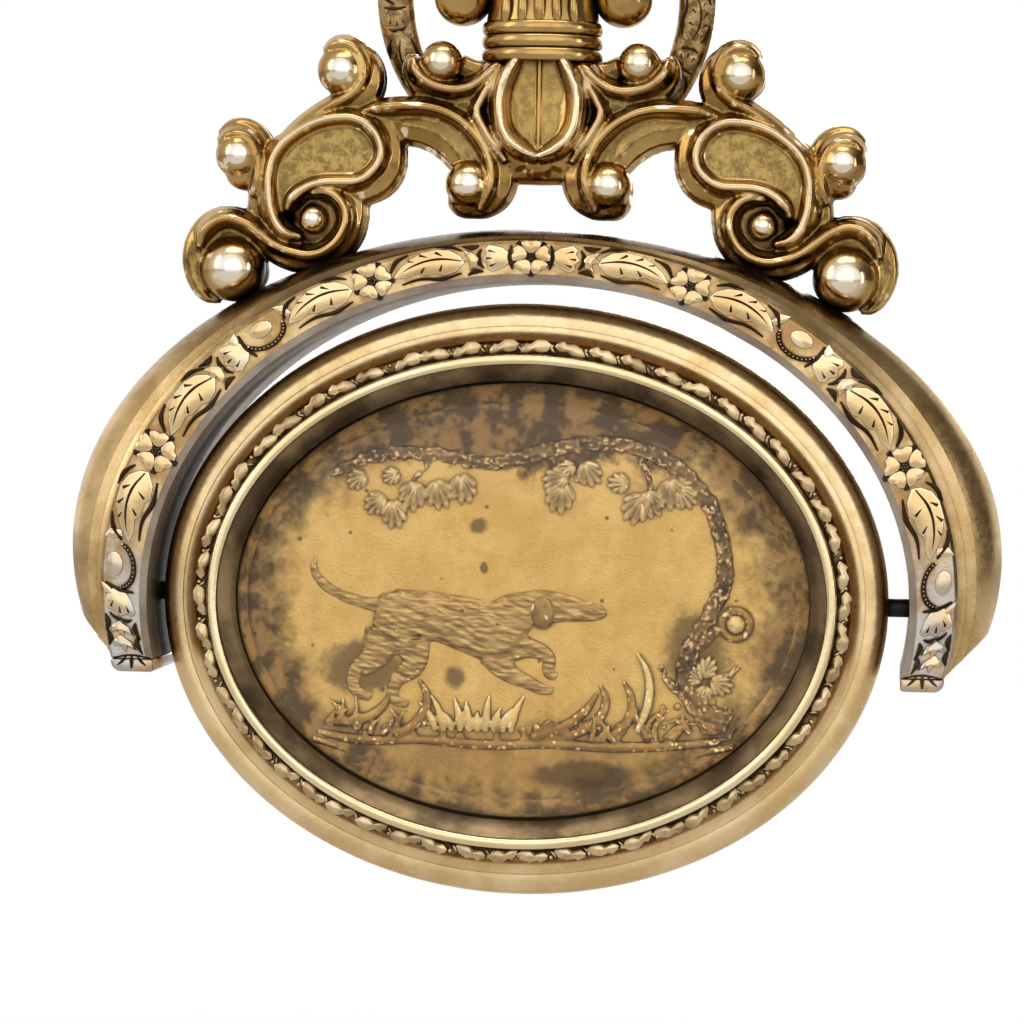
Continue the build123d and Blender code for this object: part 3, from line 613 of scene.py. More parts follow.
# A rod through the points, each with x, z and a radius; they are all at one height or have their own as a fourth number
def sweep(points, forward, girth=None, ends=1.0, drop=0.0):
    bpy.ops.object.select_all(action="DESELECT")
    bpy.ops.curve.primitive_bezier_curve_add()
    rod = bpy.context.object
    spline = rod.data.splines[0]
    spline.bezier_points.add(len(points) - 2)
    for index, (knot, point) in enumerate(zip(spline.bezier_points, points)):
        atEnd = index in (0, len(points) - 1)
        knot.handle_left_type = knot.handle_right_type = "AUTO"
        height = point[3] if len(point) > 3 else forward - (drop if atEnd else 0.0)
        knot.co = (point[0], -height, point[1])
        knot.radius = (girth or point[2]) * (ends if atEnd else 1.0)
    rod.data.bevel_depth = 1.0
    rod.data.bevel_resolution = 2
    rod.data.resolution_u = 6
    rod.data.use_fill_caps = True
    bpy.ops.object.convert(target="MESH")
    return bpy.context.object


def ridge(points, top):  # a thin bright line on a widening foot
    ends, drop = crest["ridgeEnds"], crest["ridgeDrop"]
    return [sweep(points, top - depth, girth, ends, drop) for girth, depth in crest["ridgeFeet"]]


def ball(x, z, radius, forward, depth=1.0, segments=36, rings=24):  # a round boss, its depth scaled
    bpy.ops.object.select_all(action="DESELECT")
    bpy.ops.mesh.primitive_uv_sphere_add(
        segments=segments, ring_count=rings, radius=radius, location=(x, -forward, z), rotation=(math.pi / 2, 0, 0),
        scale=(1, 1, depth),
    )
    return bpy.context.object


def drawnOut(outline, back, front):  # a flat panel from back to front, still in edit mode
    bpy.ops.object.select_all(action="DESELECT")
    bpy.ops.mesh.primitive_circle_add(vertices=len(outline), radius=1.0, fill_type="NGON", rotation=(math.pi / 2, 0, 0))
    panel = bpy.context.object
    bpy.ops.object.transform_apply()
    for vertex, point in zip(panel.data.vertices, outline):
        vertex.co = (point[0], -back, point[1])
    opened()
    bpy.ops.mesh.extrude_region_move(TRANSFORM_OT_translate={"value": (0, back - front, 0)})
    return panel


def plate(outline, front):  # a flat panel on the middle plane
    panel = drawnOut(outline, 0.0, front)
    closedUp()
    return panel


def joined(pieces, name):
    chosen(*pieces)
    bpy.ops.object.join()
    whole = bpy.context.object
    whole.name = whole.data.name = name
    bpy.ops.object.transform_apply()
    return whole


def remeshed(piece, voxel, rounds):  # one closed skin, softened
    modifierApplied(piece, "REMESH", mode="VOXEL", voxel_size=voxel)
    modifierApplied(piece, "SMOOTH", factor=0.5, iterations=rounds)


def inMetres(piece, smooth):  # modelled in millimetres, kept in metres, edges up to this angle smooth
    chosen(piece)
    piece.scale = (0.001, 0.001, 0.001)
    bpy.ops.object.transform_apply()
    bpy.ops.object.shade_smooth_by_angle(angle=math.radians(smooth))


def copyOf(piece):  # a copy with its own mesh
    chosen(piece)
    bpy.ops.object.duplicate()
    return bpy.context.object


def turnedCopy(piece, name, scale):  # a mirrored copy
    twin = copyOf(piece)
    twin.name = twin.data.name = name
    twin.scale = scale
    bpy.ops.object.transform_apply()
    opened()
    closedUp()
    return twin


# Crest, left half, in millimetres: x, z and where needed the rod's radius
crest = {
    "voxel": 0.085, "triangles": 96000,
    "bodyForward": 0.5, "deepForward": 0.25, "heartForward": 0.3,
    "ridgeFeet": ((0.21, 0.21), (0.34, 0.44), (0.50, 0.80)), "ridgeEnds": 0.7, "ridgeDrop": 0.25,
    "rods": {
        "topHood": ((-9.97, -10.5, .39), (-9.27, -10.6, .52), (-8.52, -10.93, .6), (-8.11, -11.61, .63),
                    (-8.17, -12.41, .69), (-8.76, -13.18, .69), (-9.78, -13.83, .62), (-10.81, -14.32, .53),
                    (-11.72, -14.97, .46), (-12.45, -15.78, .37)),
        "shoulderHood": ((-15.24, -14.81, .3), (-14.61, -14.34, .42), (-13.8, -14.44, .48), (-13.21, -15.12, .53),
                         (-13.05, -15.91, .55), (-13.17, -16.95, .55), (-13.38, -17.88, .55), (-13.31, -18.74, .51)),
        "outerHood": ((-15.25, -22.62, .1), (-15.75, -22.5, .22), (-16.15, -22.08, .34), (-16.51, -21.28, .39),
                      (-16.58, -20.36, .44), (-16.28, -19.5, .48),
                      (-15.61, -18.79, .51), (-14.7, -18.6, .53), (-13.82, -18.93, .6), (-13.0, -19.65, .69),
                      (-12.06, -20.27, .76), (-11.03, -20.5, .76), (-10.0, -20.25, .74), (-9.2, -19.54, .72),
                      (-8.85, -18.59, .69), (-8.87, -17.79, .65), (-9.25, -17.27, .51)),
        "paisleyFlank": ((-9.33, -13.48, .52), (-8.23, -13.74, .67), (-7.38, -14.53, .74), (-7.1, -15.57, .76),
                         (-7.4, -16.66, .76), (-8.27, -17.25, .69), (-9.25, -17.45, .58)),
        "beam": ((-8.07, -13.68, .46), (-7.25, -13.89, .72), (-6.32, -14.16, .92), (-5.28, -14.35, .99),
                 (-4.4, -14.87, .95), (-3.75, -15.6, .84), (-3.3, -16.4, .7)),
        "lowerHood": ((-3.68, -13.88, .58), (-2.75, -14.55, .67), (-2.04, -15.46, .72), (-1.78, -16.48, .72),
                      (-1.94, -17.29, .69), (-2.56, -17.88, .58), (-3.37, -18.11, .42)),
        "innerHood": ((-6.11, -10.76, .28), (-6.21, -11.52, .42), (-5.73, -12.25, .55), (-4.8, -12.69, .6),
                      (-3.82, -12.82, .6), (-2.9, -12.53, .62), (-2.22, -11.94, .58), (-1.83, -11.37, .46)),
        "innerArm": ((-4.77, -10.97, .69), (-3.85, -11.29, .58), (-2.93, -11.56, .53), (-2.01, -11.31, .6)),
        "bridge": ((-4.54, -13.33, .6), (-3.25, -13.03, .7), (-1.95, -13.23, .9)),
    },
    "ridges": {
        "top": (1.62, ((-10.21, -10.78), (-9.64, -10.41), (-8.99, -10.46), (-8.52, -10.96), (-8.35, -11.64),
                       (-8.51, -12.27), (-9.02, -12.8), (-9.98, -13.33), (-10.88, -13.93), (-11.68, -14.63),
                       (-12.51, -15.48))),
        "shoulder": (1.62, ((-15.21, -15.13), (-14.59, -14.72), (-13.9, -14.85), (-13.46, -15.41),
                            (-13.3, -16.21), (-13.36, -17.01), (-13.56, -17.59))),
        "flank": (1.55, ((-12.22, -14.86), (-12.62, -15.4), (-12.89, -16.19), (-13.0, -17.34), (-12.93, -18.26),
                         (-12.56, -19.05))),
        "outer": (1.72, ((-16.1, -20.05), (-15.74, -19.18), (-14.89, -18.68), (-13.97, -18.86), (-13.16, -19.39),
                         (-12.35, -19.95), (-11.54, -20.25), (-10.62, -20.33), (-9.78, -19.94), (-9.25, -19.27),
                         (-9.06, -18.53), (-9.32, -17.79), (-10.0, -17.34), (-10.74, -17.47))),
        "paisley": (1.85, ((-11.2, -19.52), (-12.0, -19.28), (-12.53, -18.49), (-12.74, -17.47),
                           (-12.69, -16.32), (-12.31, -15.4), (-11.52, -14.64), (-10.62, -14.13), (-9.59, -13.88),
                           (-8.62, -13.93), (-7.87, -14.4), (-7.49, -15.07), (-7.47, -15.81), (-7.89, -16.43),
                           (-8.56, -16.83), (-9.37, -16.89), (-10.22, -16.93), (-11.02, -17.2), (-11.6, -17.67),
                           (-11.91, -18.25))),
        "beam": (1.68, ((-8.35, -13.54), (-7.35, -13.34), (-6.2, -13.27), (-5.06, -13.35), (-4.02, -13.73),
                        (-3.14, -14.4), (-2.5, -15.3), (-2.22, -16.21), (-2.29, -17.12), (-2.73, -18.11))),
        "inner": (1.75, ((-6.03, -11.01), (-5.83, -11.62), (-5.31, -12.11), (-4.49, -12.42), (-3.58, -12.42),
                         (-2.79, -12.03), (-2.23, -11.53), (-1.82, -11.15))),
        "leafVein": (1.78, ((-1.93, -11.19), (-2.32, -12.21), (-2.74, -13.0), (-2.92, -13.44), (-2.53, -14.39),
                            (-2.05, -15.09), (-1.56, -15.83))),
        "leaf": (2.3, ((-0.95, -10.85), (-1.5, -11.73), (-1.78, -12.66), (-1.8, -13.59), (-1.55, -14.5),
                       (-0.95, -15.15), (0.0, -15.6))),
    },
    "balls": ((-9.42, -11.6, 1.2, 0.75), (-14.28, -15.66, 1.15, 0.75), (-14.1, -16.45, 0.88, 0.5),
              (-14.52, -21.08, 1.55, 0.6), (-3.3, -16.9, 1.12, 0.85), (-3.45, -17.6, 0.9, 0.4),
              (-4.65, -11.15, 1.0, 0.95), (-0.1, -15.9, 0.8, 0.45)),
    "capped": (0, 1, 3, 4, 6), "capShare": 0.43,
    "bowl": (-10.4, -18.73, 1.75, 1.12), "eye": (-10.62, -18.68, 0.66, 1.3),
    "fillings": (
        ((-13.6, -19.7, .8), (-14.6, -19.9, 1.0), (-15.5, -20.6, .9), (-15.7, -21.5, .7)),
        ((-3.6, -15.0, .7), (-3.0, -16.1, .85), (-3.0, -17.2, .75)),
        ((-1.8, -10.7, .75), (-2.0, -11.8, .9), (-2.2, -13.2, 1.05)),
        ((-1.25, -16.05, .8), (0.4, -16.1, .8)),
    ),
    "paisleyFloor": 1.32, "leafFloor": 1.4,
    "heart": ((-1.24, -11.49, .92), (-1.32, -13.22, 1.27), (-1.17, -14.95, 1.27), (-0.69, -16.05, .9)),
    "leafSpine": ((0.0, -10.8), (0.0, -12.5), (0.0, -14.0), (0.0, -15.4)), "spineGirth": 0.1, "spineLift": 0.05,
    "leafEdge": ((0.6, -15.6), (0.6, -10.85)), "leafSwell": (-0.3, -13.3, 1.9, 0.0, 0.68),
}
parts = []
for name, points in crest["rods"].items():
    parts.append(sweep(points, crest["deepForward"] if name == "beam" else crest["bodyForward"]))
for top, points in crest["ridges"].values():
    parts += ridge(points, top)
parts += [ball(*place) for place in crest["balls"]]
parts += [sweep(points, crest["deepForward"]) for points in crest["fillings"]]
x, z, radius, depth = crest["bowl"]
parts.append(ball(x, z, radius, 0.0, depth / radius))
parts.append(ball(*crest["eye"]))
parts.append(plate(crest["ridges"]["paisley"][1][2:-1], crest["paisleyFloor"]))
parts.append(sweep(crest["heart"], crest["heartForward"]))
parts.append(plate((*crest["ridges"]["leaf"][1], *crest["leafEdge"]), crest["leafFloor"]))
parts.append(sweep(crest["leafSpine"], crest["leafFloor"] + crest["spineLift"], crest["spineGirth"]))
parts.append(ball(*crest["leafSwell"]))
crestHalf = joined(parts, "crestFront")
remeshed(crestHalf, crest["voxel"], 3)
facesNow = 2 * len(crestHalf.data.polygons)  # the remeshed shell is all four-sided
modifierApplied(crestHalf, "DECIMATE", ratio=min(1.0, crest["triangles"] / facesNow))
for vertex in crestHalf.data.vertices:
    vertex.co.y = min(vertex.co.y, 0.0)  # flat where the two halves of the crest meet
acrossOnly = (True, False, False)
modifierApplied(
    crestHalf, "MIRROR", use_axis=acrossOnly, use_bisect_axis=acrossOnly, use_bisect_flip_axis=acrossOnly,
    merge_threshold=0.01,
)
inMetres(crestHalf, 60)
crestBack = turnedCopy(crestHalf, "crestBack", (1, -1, 1))

# Painted highlight: a pale disc on the front of each round boss stands in for the lamp's reflection in it
highlightDiscs = []
for x, z, radius, forward in (*(crest["balls"][index] for index in crest["capped"]), crest["eye"]):
    highlightDiscs.append(ball(x, z, radius, forward))
    bpy.ops.object.transform_apply()
    opened()
    cut = -forward - radius * math.sqrt(1 - crest["capShare"] ** 2)
    bpy.ops.mesh.bisect(plane_co=(x, cut, z), plane_no=(0, 1, 0), use_fill=True, clear_outer=True)
    bpy.ops.object.mode_set(mode="OBJECT")
leftHighlightDiscs = joined(highlightDiscs, "leftHighlightDiscs")
crestHighlightDiscs = joined([leftHighlightDiscs, turnedCopy(leftHighlightDiscs, "rightHighlightDiscs", (-1, 1, 1))], "crestFrontHighlightDiscs")
inMetres(crestHighlightDiscs, 40)
for piece in (crestHighlightDiscs, turnedCopy(crestHighlightDiscs, "crestBackHighlightDiscs", (1, -1, 1))):
    piece.data.materials.append(paintedBossHighlight)
    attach(piece, "hanger")
for piece, node in ((crestHalf, "crest_front_shell"), (crestBack, "crest_back_shell")):
    piece.data.materials.append(crestGilt)
    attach(piece, "hanger")
    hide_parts(node)

print("stage: stem flutes")
# Flutes up the stem, in millimetres: x, z, radius, height off the middle
flutes = (
    ((0, -9.7, .2, 1.5), (0, -9.0, .36, 1.92), (0, -7.0, .31, 1.64), (0, -5.0, .24, 1.24), (0, -3.2, .14, .9)),
    ((.82, -9.7, .16, 1.5), (.8, -9, .27, 1.94), (.72, -7, .23, 1.64), (.5, -5.2, .16, 1.27), (.25, -3.6, .09, .94)),
    ((1.62, -9.7, .16, 1.2), (1.6, -9, .27, 1.74), (1.5, -7.4, .22, 1.5), (1.2, -6, .16, 1.27), (.8, -4.6, .1, 1.0)),
)
parts = [sweep(points, 0) for points in flutes]
for points in flutes[1:]:
    parts.append(sweep([(-x, z, radius, height) for x, z, radius, height in points], 0))
stemFlutes = joined(parts, "stemFrontFlutes")
modifierApplied(stemFlutes, "SMOOTH", factor=0.5, iterations=1)
inMetres(stemFlutes, 60)
stemBackFlutes = turnedCopy(stemFlutes, "stemBackFlutes", (1, -1, 1))
for piece in (stemFlutes, stemBackFlutes):
    piece.data.materials.append(gilt)
    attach(piece, "hanger")

print("stage: pivot lips")
# Torn lip round each pivot hole in the seal's edge
lip = {
    "reach": (-17.18, 16.48), "height": -36.5, "major": 0.74, "minor": 0.13, "round": 40, "across": 10,
    "ragged": 0.09, "nextShare": 0.5, "upShare": 0.6,
}
draw = random.Random(5)
for name, x in zip(("leftPivotLip", "rightPivotLip"), lip["reach"]):
    bpy.ops.object.select_all(action="DESELECT")
    bpy.ops.mesh.primitive_torus_add(
        major_radius=lip["major"], minor_radius=lip["minor"], major_segments=lip["round"],
        minor_segments=lip["across"], location=(x, 0, lip["height"]), rotation=(0, math.pi / 2, 0),
    )
    pivotLip = bpy.context.object
    pivotLip.name = pivotLip.data.name = name
    bpy.ops.object.transform_apply()
    ragged = [draw.uniform(-lip["ragged"], lip["ragged"]) for _ in range(lip["round"])]
    for vertex in pivotLip.data.vertices:
        index = vertex.index // lip["across"]
        vertex.co.x += ragged[index] + lip["nextShare"] * ragged[(index + 1) % lip["round"]]
        vertex.co.z = lip["height"] + (vertex.co.z - lip["height"]) * (1 + lip["upShare"] * ragged[index])
    modifierApplied(pivotLip, "SUBSURF", levels=1, render_levels=1)
    inMetres(pivotLip, 60)
    pivotLip.data.materials.append(polishedGilt)
    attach(pivotLip, "seal")

print("stage: chased rims")


def cushion(outline, height, lip, crown):  # a low relief on an outline, steep sided, soft on top
    shape = drawnOut(outline, -0.05, height * 0.6)
    bpy.ops.mesh.inset(thickness=lip, depth=0)
    bpy.ops.transform.translate(value=(0, -height * 0.4, 0))
    bpy.ops.mesh.poke(offset=0.0)
    closedUp()
    middle = shape.data.vertices[-1]
    middle.co.y -= height * crown
    return shape


def bead(u, v, radius, height, segments=6, rings=4):  # a small round boss
    return ball(u, v, radius, 0, height / radius, segments, rings)


def rib(start, end, width, height):  # a long narrow boss from start to end
    run = Vector((end[0] - start[0], 0, end[1] - start[1]))
    shape = bead((start[0] + end[0]) / 2, (start[1] + end[1]) / 2, run.length / 2, height, 8, 6)
    bpy.ops.object.transform_apply(location=False, rotation=True, scale=True)
    shape.scale = (1, 1, width / run.length)
    bpy.ops.object.transform_apply(location=False, rotation=False, scale=True)
    shape.rotation_euler = (0, -math.atan2(run.z, run.x), 0)
    bpy.ops.object.transform_apply(location=False, rotation=True, scale=False)
    return shape


def turned(shape, degrees):  # turned about the motif's own origin
    shape.rotation_euler = (0, math.radians(-degrees), 0)
    chosen(shape)
    bpy.ops.object.transform_apply()
    return shape


# Motifs, in millimetres: along the rim, and across it towards the outer edge; the points of cut lines have a radius.
# A stamp has its height, the width of its edge and how far its middle rises.
chasing = {
    "petal": (
        (.1, .2), (.3, .36), (.46, .6), (.42, .78), (.2, .88), (0.0, .8), (-.2, .88), (-.42, .78), (-.46, .6),
        (-.3, .36), (-.1, .2),
    ),
    "leaf": (
        (0, -.12), (.12, .22), (.5, .58), (1.0, .74), (1.7, .72), (2.3, .52), (2.8, .22), (3.25, -.2), (2.7, -.32),
        (2.2, -.24), (1.9, -.42), (1.3, -.44), (1.0, -.6), (.45, -.5),
    ),
    "leafCuts": (
        ((.1, 0, .04), (1.1, .26, .075), (2.1, .2, .06), (3.0, -.1, .02)), ((.8, .3, .02), (1.15, .62, .08)),
        ((1.4, .36, .02), (1.85, .62, .07)), ((2.0, .3, .02), (2.4, .44, .05)), ((.9, .12, .02), (1.15, -.36, .08)),
        ((1.6, .16, .02), (2.0, -.26, .07)), ((.2, -.62, .03), (1.1, -.76, .1), (2.1, -.56, .07), (3.0, -.62, .03)),
        ((0.0, .5, .03), (.5, .8, .1), (1.1, .86, .04)), ((2.3, .76, .04), (2.9, .56, .1), (3.3, .1, .05)),
    ),
    "bell": (
        (0, -.22), (.3, -.5), (.85, -.68), (1.05, -.5), (1.0, -.28), (1.2, 0), (1.0, .28), (1.05, .5), (.85, .68),
        (.3, .5), (0, .22),
    ),
    "bellCuts": (
        ((.15, 0, .04), (1.05, 0, .07)), ((.15, .1, .03), (.9, .4, .07)), ((.15, -.1, .03), (.9, -.4, .07)),
        ((-.1, -.62, .04), (.02, 0, .1), (-.1, .62, .04)), ((1.2, .5, .03), (1.36, .2, .09), (1.3, 0.0, .03)),
        ((1.2, -.5, .03), (1.36, -.2, .09), (1.3, -0.0, .03)),
    ),
    "wedge": ((0, .1), (.3, .42), (.62, .5), (.5, .2), (.75, 0), (.4, -.1), (.5, -.5), (.15, -.35)),
    "wedgeCuts": (
        ((-.1, .7, .03), (.2, .62, .15), (.65, .74, .03)), ((-.15, -.66, .03), (.2, -.6, .14), (.6, -.78, .03)),
        ((.1, .02, .03), (.45, .28, .05)), ((.1, 0.0, .03), (.4, -.26, .05)),
    ),
    "petalStamp": (.12, .09, -.35), "leafStamp": (.075, .1, .3), "bellStamp": (.09, .12, .4),
    "wedgeStamp": (.09, .05, .4), "ovalStamp": (.09, .1, .3), "wingStamp": (.08, .04, .1),
    "flowerCuts": (((.16, .05), (.6, .04), (.98, .12)), ((.1, .12), (.22, .1))), "flowerShare": .97,
    "pollen": (.13, .055, .19), "pollenMiddle": (0, 0, .06, .2),
    "wing": ((1.3, .1), (1.05, .5), (1.0, .82), (1.4, .66), (1.55, .2)), "arcBead": (.075, .17), "arcCut": (.04, .11),
    "stipple": (.19, .8, .035, .045), "scrollOval": (.52, .34, 0.0, .26), "scrollArc": (.98, .72, 0.0, .14),
    "front": -.004, "stretch": 1.05, "halfSpan": .86, "cutHeight": .05, "cutTop": .15, "cutStretch": 1.1,
    "endLines": (
        ((18.5, -39.35, .03), (18.5, -39.65, .1), (18.5, -39.98, .05)),
        ((18.25, -39.4, .03), (18.05, -39.65, .07), (17.82, -39.85, .03)),
        ((18.75, -39.4, .03), (18.95, -39.65, .07), (19.18, -39.85, .03)),
        ((17.62, -39.5, .04), (18.5, -39.36, .05), (19.4, -39.5, .04)),
    ),
    "bore": (18.2, 15.35, 0.0, -36.5), "edge": (20.05, 16.2, 0.0, -35.8), "rimSteps": (1201, .0925),
}


def cuts(lines, name):  # dark tapering lines, flat on the relief
    lined = joined([sweep(points, 0) for points in lines], name)
    for vertex in lined.data.vertices:
        vertex.co.y = max(chasing["cutStretch"] * vertex.co.y - chasing["cutHeight"], -chasing["cutTop"])
    return lined


def flower():
    shapes = [turned(cushion(chasing["petal"], *chasing["petalStamp"]), 72 * index) for index in range(5)]
    whole = joined(shapes, "flower")
    whole.scale = (chasing["flowerShare"], 1, chasing["flowerShare"])
    radial = []
    for index in range(5):
        across, up = onOval(54 + 72 * index, 1, 1)
        radial += [[(reach * across, reach * up, radius) for reach, radius in line] for line in chasing["flowerCuts"]]
    dark = cuts(radial, "flowerCuts")
    reach, *size = chasing["pollen"]
    heart = [bead(*onOval(60 * index, reach, reach), *size) for index in range(6)]
    return joined([whole, *heart, bead(*chasing["pollenMiddle"])], "flower"), dark


def stamped(name):  # a relief and its cut lines
    return joined([cushion(chasing[name], *chasing[name + "Stamp"])], name), cuts(chasing[name + "Cuts"], name + "Cuts")


def beadedScroll():
    oval = [onOval(30 * index, *chasing["scrollOval"]) for index in range(12)]
    shapes = [cushion(oval, *chasing["ovalStamp"])]
    for side in (-1, 1):
        shapes.append(cushion([(side * u, v) for u, v in chasing["wing"]], *chasing["wingStamp"]))
    arc = [onOval(degrees, *chasing["scrollArc"]) for degrees in range(-172, -7, 12)]
    shapes += [bead(u, v, *chasing["arcBead"]) for u, v in arc]
    thin, thick = chasing["arcCut"]
    lines = [[(u, v, thin if index in (0, len(arc) - 1) else thick) for index, (u, v) in enumerate(arc)]]
    reach, lower, half, radius = chasing["stipple"]
    for index in range(7):  # stippling on the oval
        share = reach if index < 6 else 0.0
        u, v = onOval(60 * index, share, lower * share, 0.0, chasing["scrollOval"][3])
        lines.append(((u - half, v, radius), (u + half, v, radius)))
    return joined(shapes, "beadedScroll"), cuts(lines, "scrollCuts")


# The rim's middle line from the crown outwards: length so far, place, direction, half width
rimLine = []
for step in range(chasing["rimSteps"][0]):
    degrees = 90 - step * chasing["rimSteps"][1]
    inner, outer = Vector(onOval(degrees, *chasing["bore"])), Vector(onOval(degrees, *chasing["edge"]))
    middle = (inner + outer) / 2
    length = rimLine[-1][0] + (middle - rimLine[-1][1]).length if rimLine else 0.0
    rimLine.append((length, middle, (outer - inner).normalized(), (outer - inner).length / 2))


def onRim(along, across):  # a place on the rim, in millimetres
    side = -1 if along < 0 else 1
    distance = min(abs(along), rimLine[-1][0])
    index = min(range(0, len(rimLine), 8), key=lambda i: abs(rimLine[i][0] - distance))
    low, high = max(index - 8, 0), min(index + 9, len(rimLine))
    index = min(range(low, high), key=lambda i: abs(rimLine[i][0] - distance))
    length, middle, outward, half = rimLine[index]
    forward = Vector((outward.y, -outward.x))
    place = middle + forward * (distance - length) + outward * (across * half / chasing["halfSpan"])
    return side * place.x, place.y


def copyOntoRim(motif, along, flip):  # a copy of a motif, bent to the rim
    twin = copyOf(motif)
    for vertex in twin.data.vertices:
        u, depth, v = vertex.co
        x, z = onRim(along + flip * u * chasing["stretch"], v)
        vertex.co = (x, 1000 * chasing["front"] + depth, z)
    return twin


motifs = {"flower": flower()}
for name in ("leaf", "bell", "wedge"):
    motifs[name] = stamped(name)
motifs["beadedScroll"] = beadedScroll()
# Where each motif starts, in millimetres from the crown
rimPlan = (
    ("bell", 1.0), ("wedge", 2.45), ("leaf", 3.15), ("flower", 7.55), ("leaf", 8.6), ("beadedScroll", 13.2),
    ("bell", 14.3), ("wedge", 15.8), ("leaf", 16.35), ("flower", 20.8), ("leaf", 21.85), ("beadedScroll", 26.5),
    ("bell", 27.6), ("wedge", 29.1), ("wedge", 29.8),
)


def chased(copies, name, material, body):  # one piece, and for a front piece a mirrored one for the back
    pieces = [joined(copies, name)]
    opened()
    closedUp()
    inMetres(pieces[0], 50)
    if "front" in name:
        pieces.append(turnedCopy(pieces[0], name.replace("front", "back"), (1, -1, 1)))
    for piece in pieces:
        piece.data.materials.clear()
        piece.data.materials.append(material)
        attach(piece, body)


for part, material, title in ((0, reliefGilt, "frontRimChasing"), (1, cutLines, "frontRimCuts")):
    copies = [copyOntoRim(motifs["flower"][part], 0.0, 1)]
    for name, along in rimPlan:
        copies += [copyOntoRim(motifs[name][part], side * along, side) for side in (-1, 1)]
    for side in (-1, 1) if part else ():
        for points in chasing["endLines"]:
            line = sweep([(side * x, z, radius) for x, z, radius in points], -1000 * chasing["front"])
            for vertex in line.data.vertices:
                vertex.co.y = max(vertex.co.y, 1000 * chasing["front"] - chasing["cutHeight"])
            copies.append(line)
    chased(copies, title, material, "hanger")

print("stage: chased ring")
# The same leaves and bells in small on both faces of the suspension ring
ringChasing = {
    "middle": (7.225, 7.95), "halfWidth": (0.86, 0.53), "halfThickness": 0.645, "tilt": math.radians(12),
    "size": 0.7, "depth": 0.6, "pairs": 11, "from": 104, "over": 332, "bellAfter": 20,
}


def copyOntoRing(motif, degrees, face):  # bent to the ring's oval, on its front or back
    twin = copyOf(motif)
    (wide, tall), size = ringChasing["middle"], ringChasing["size"]
    backwards, upwards = math.sin(ringChasing["tilt"]), math.cos(ringChasing["tilt"])
    for vertex in twin.data.vertices:
        u, depth, v = vertex.co
        angle = math.radians(degrees) + u * size / wide
        outward = Vector((math.cos(angle) / wide, math.sin(angle) / tall)).normalized()
        half = ringChasing["halfWidth"][0] * outward.x ** 2 + ringChasing["halfWidth"][1] * outward.y ** 2
        place = Vector((wide * math.cos(angle), tall * math.sin(angle) - tall)) + outward * (v * half)
        lift = face * (ringChasing["halfThickness"] - ringChasing["depth"] * depth)
        vertex.co = (place.x, -backwards * place.y - upwards * lift, upwards * place.y - backwards * lift)
    return twin


for part, material, title in ((0, ringGilt, "ringChasing"), (1, cutLines, "ringCuts")):
    copies = []
    for index in range(ringChasing["pairs"]):
        start = ringChasing["from"] + index * ringChasing["over"] / ringChasing["pairs"]
        for face in (1, -1):
            copies.append(copyOntoRing(motifs["leaf"][part], start, face))
            copies.append(copyOntoRing(motifs["bell"][part], start + ringChasing["bellAfter"], face))
    chased(copies, title, material, "ring")
for pair in motifs.values():
    for motif in pair:
        bpy.data.objects.remove(motif)

print("stage: leaf borders")
# Border round the stone: one leaf and its bead, copied round the seal's oval
border = {
    "centre": (-.35, -36.5), "half": (17.24, 14.03), "inset": 2.07, "front": 2.5, "leaves": 54, "height": .12,
    "leaf": (
        (-.66, -.05), (-.45, .18), (-.12, .27), (.2, .17), (.36, .24), (.6, .08), (.66, -.06), (.4, -.18), (.1, -.1),
        (-.12, -.25), (-.42, -.24),
    ),
    "edge": .07, "crown": .25, "bead": (.78, .06, .1, .12, 8, 5), "stalk": ((-.8, -.22), (-.55, .1), .13, .1),
    "turns": ((10, .02), (-14, 0.0), (4, .04)), "steps": 2161, "apart": .25, "length": (.92, .16), "along": 1.12,
    "across": 1.25,
}


def borderMotif(turnedBy, lift):
    leaf = turned(cushion(border["leaf"], border["height"] + lift, border["edge"], border["crown"]), turnedBy)
    return joined([leaf, bead(*border["bead"]), rib(*border["stalk"])], "borderLeaf")


borderLeaves = [borderMotif(turnedBy, lift) for turnedBy, lift in border["turns"]]
reachX, reachZ = border["half"][0] - border["inset"], border["half"][1] - border["inset"]
ring, total = [], 0.0
for step in range(border["steps"]):
    angle = math.radians(step / 6)
    point = Vector(onOval(step / 6, reachX, reachZ, *border["centre"]))
    total += (point - ring[-1][1]).length if ring else 0.0
    ring.append((total, point, angle))
copies = []
draw = random.Random(7)
for index in range(border["leaves"]):
    wanted = total * (index + border["apart"] * draw.random()) / border["leaves"]
    length, point, angle = min(ring, key=lambda spot: abs(spot[0] - wanted))
    outward = Vector((math.cos(angle) / reachX, math.sin(angle) / reachZ)).normalized()
    forward = Vector((-outward.y, outward.x))
    motif = borderLeaves[draw.randrange(3)]
    twin = copyOf(motif)
    stretch = border["length"][0] + border["length"][1] * draw.random()
    for vertex in twin.data.vertices:
        u, depth, v = vertex.co
        spot = point + forward * (u * stretch * border["along"]) + outward * (v * border["across"])
        vertex.co = (spot.x, -border["front"] + depth, spot.y)
    copies.append(twin)
frontLeaves = joined(copies, "frontBorderLeaves")
inMetres(frontLeaves, 50)
backLeaves = turnedCopy(frontLeaves, "backBorderLeaves", (1, -1, 1))
for piece in (frontLeaves, backLeaves):
    piece.data.materials.append(borderGilt)
    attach(piece, "seal")
for motif in borderLeaves:
    bpy.data.objects.remove(motif)

print("stage: relief under the front stone")
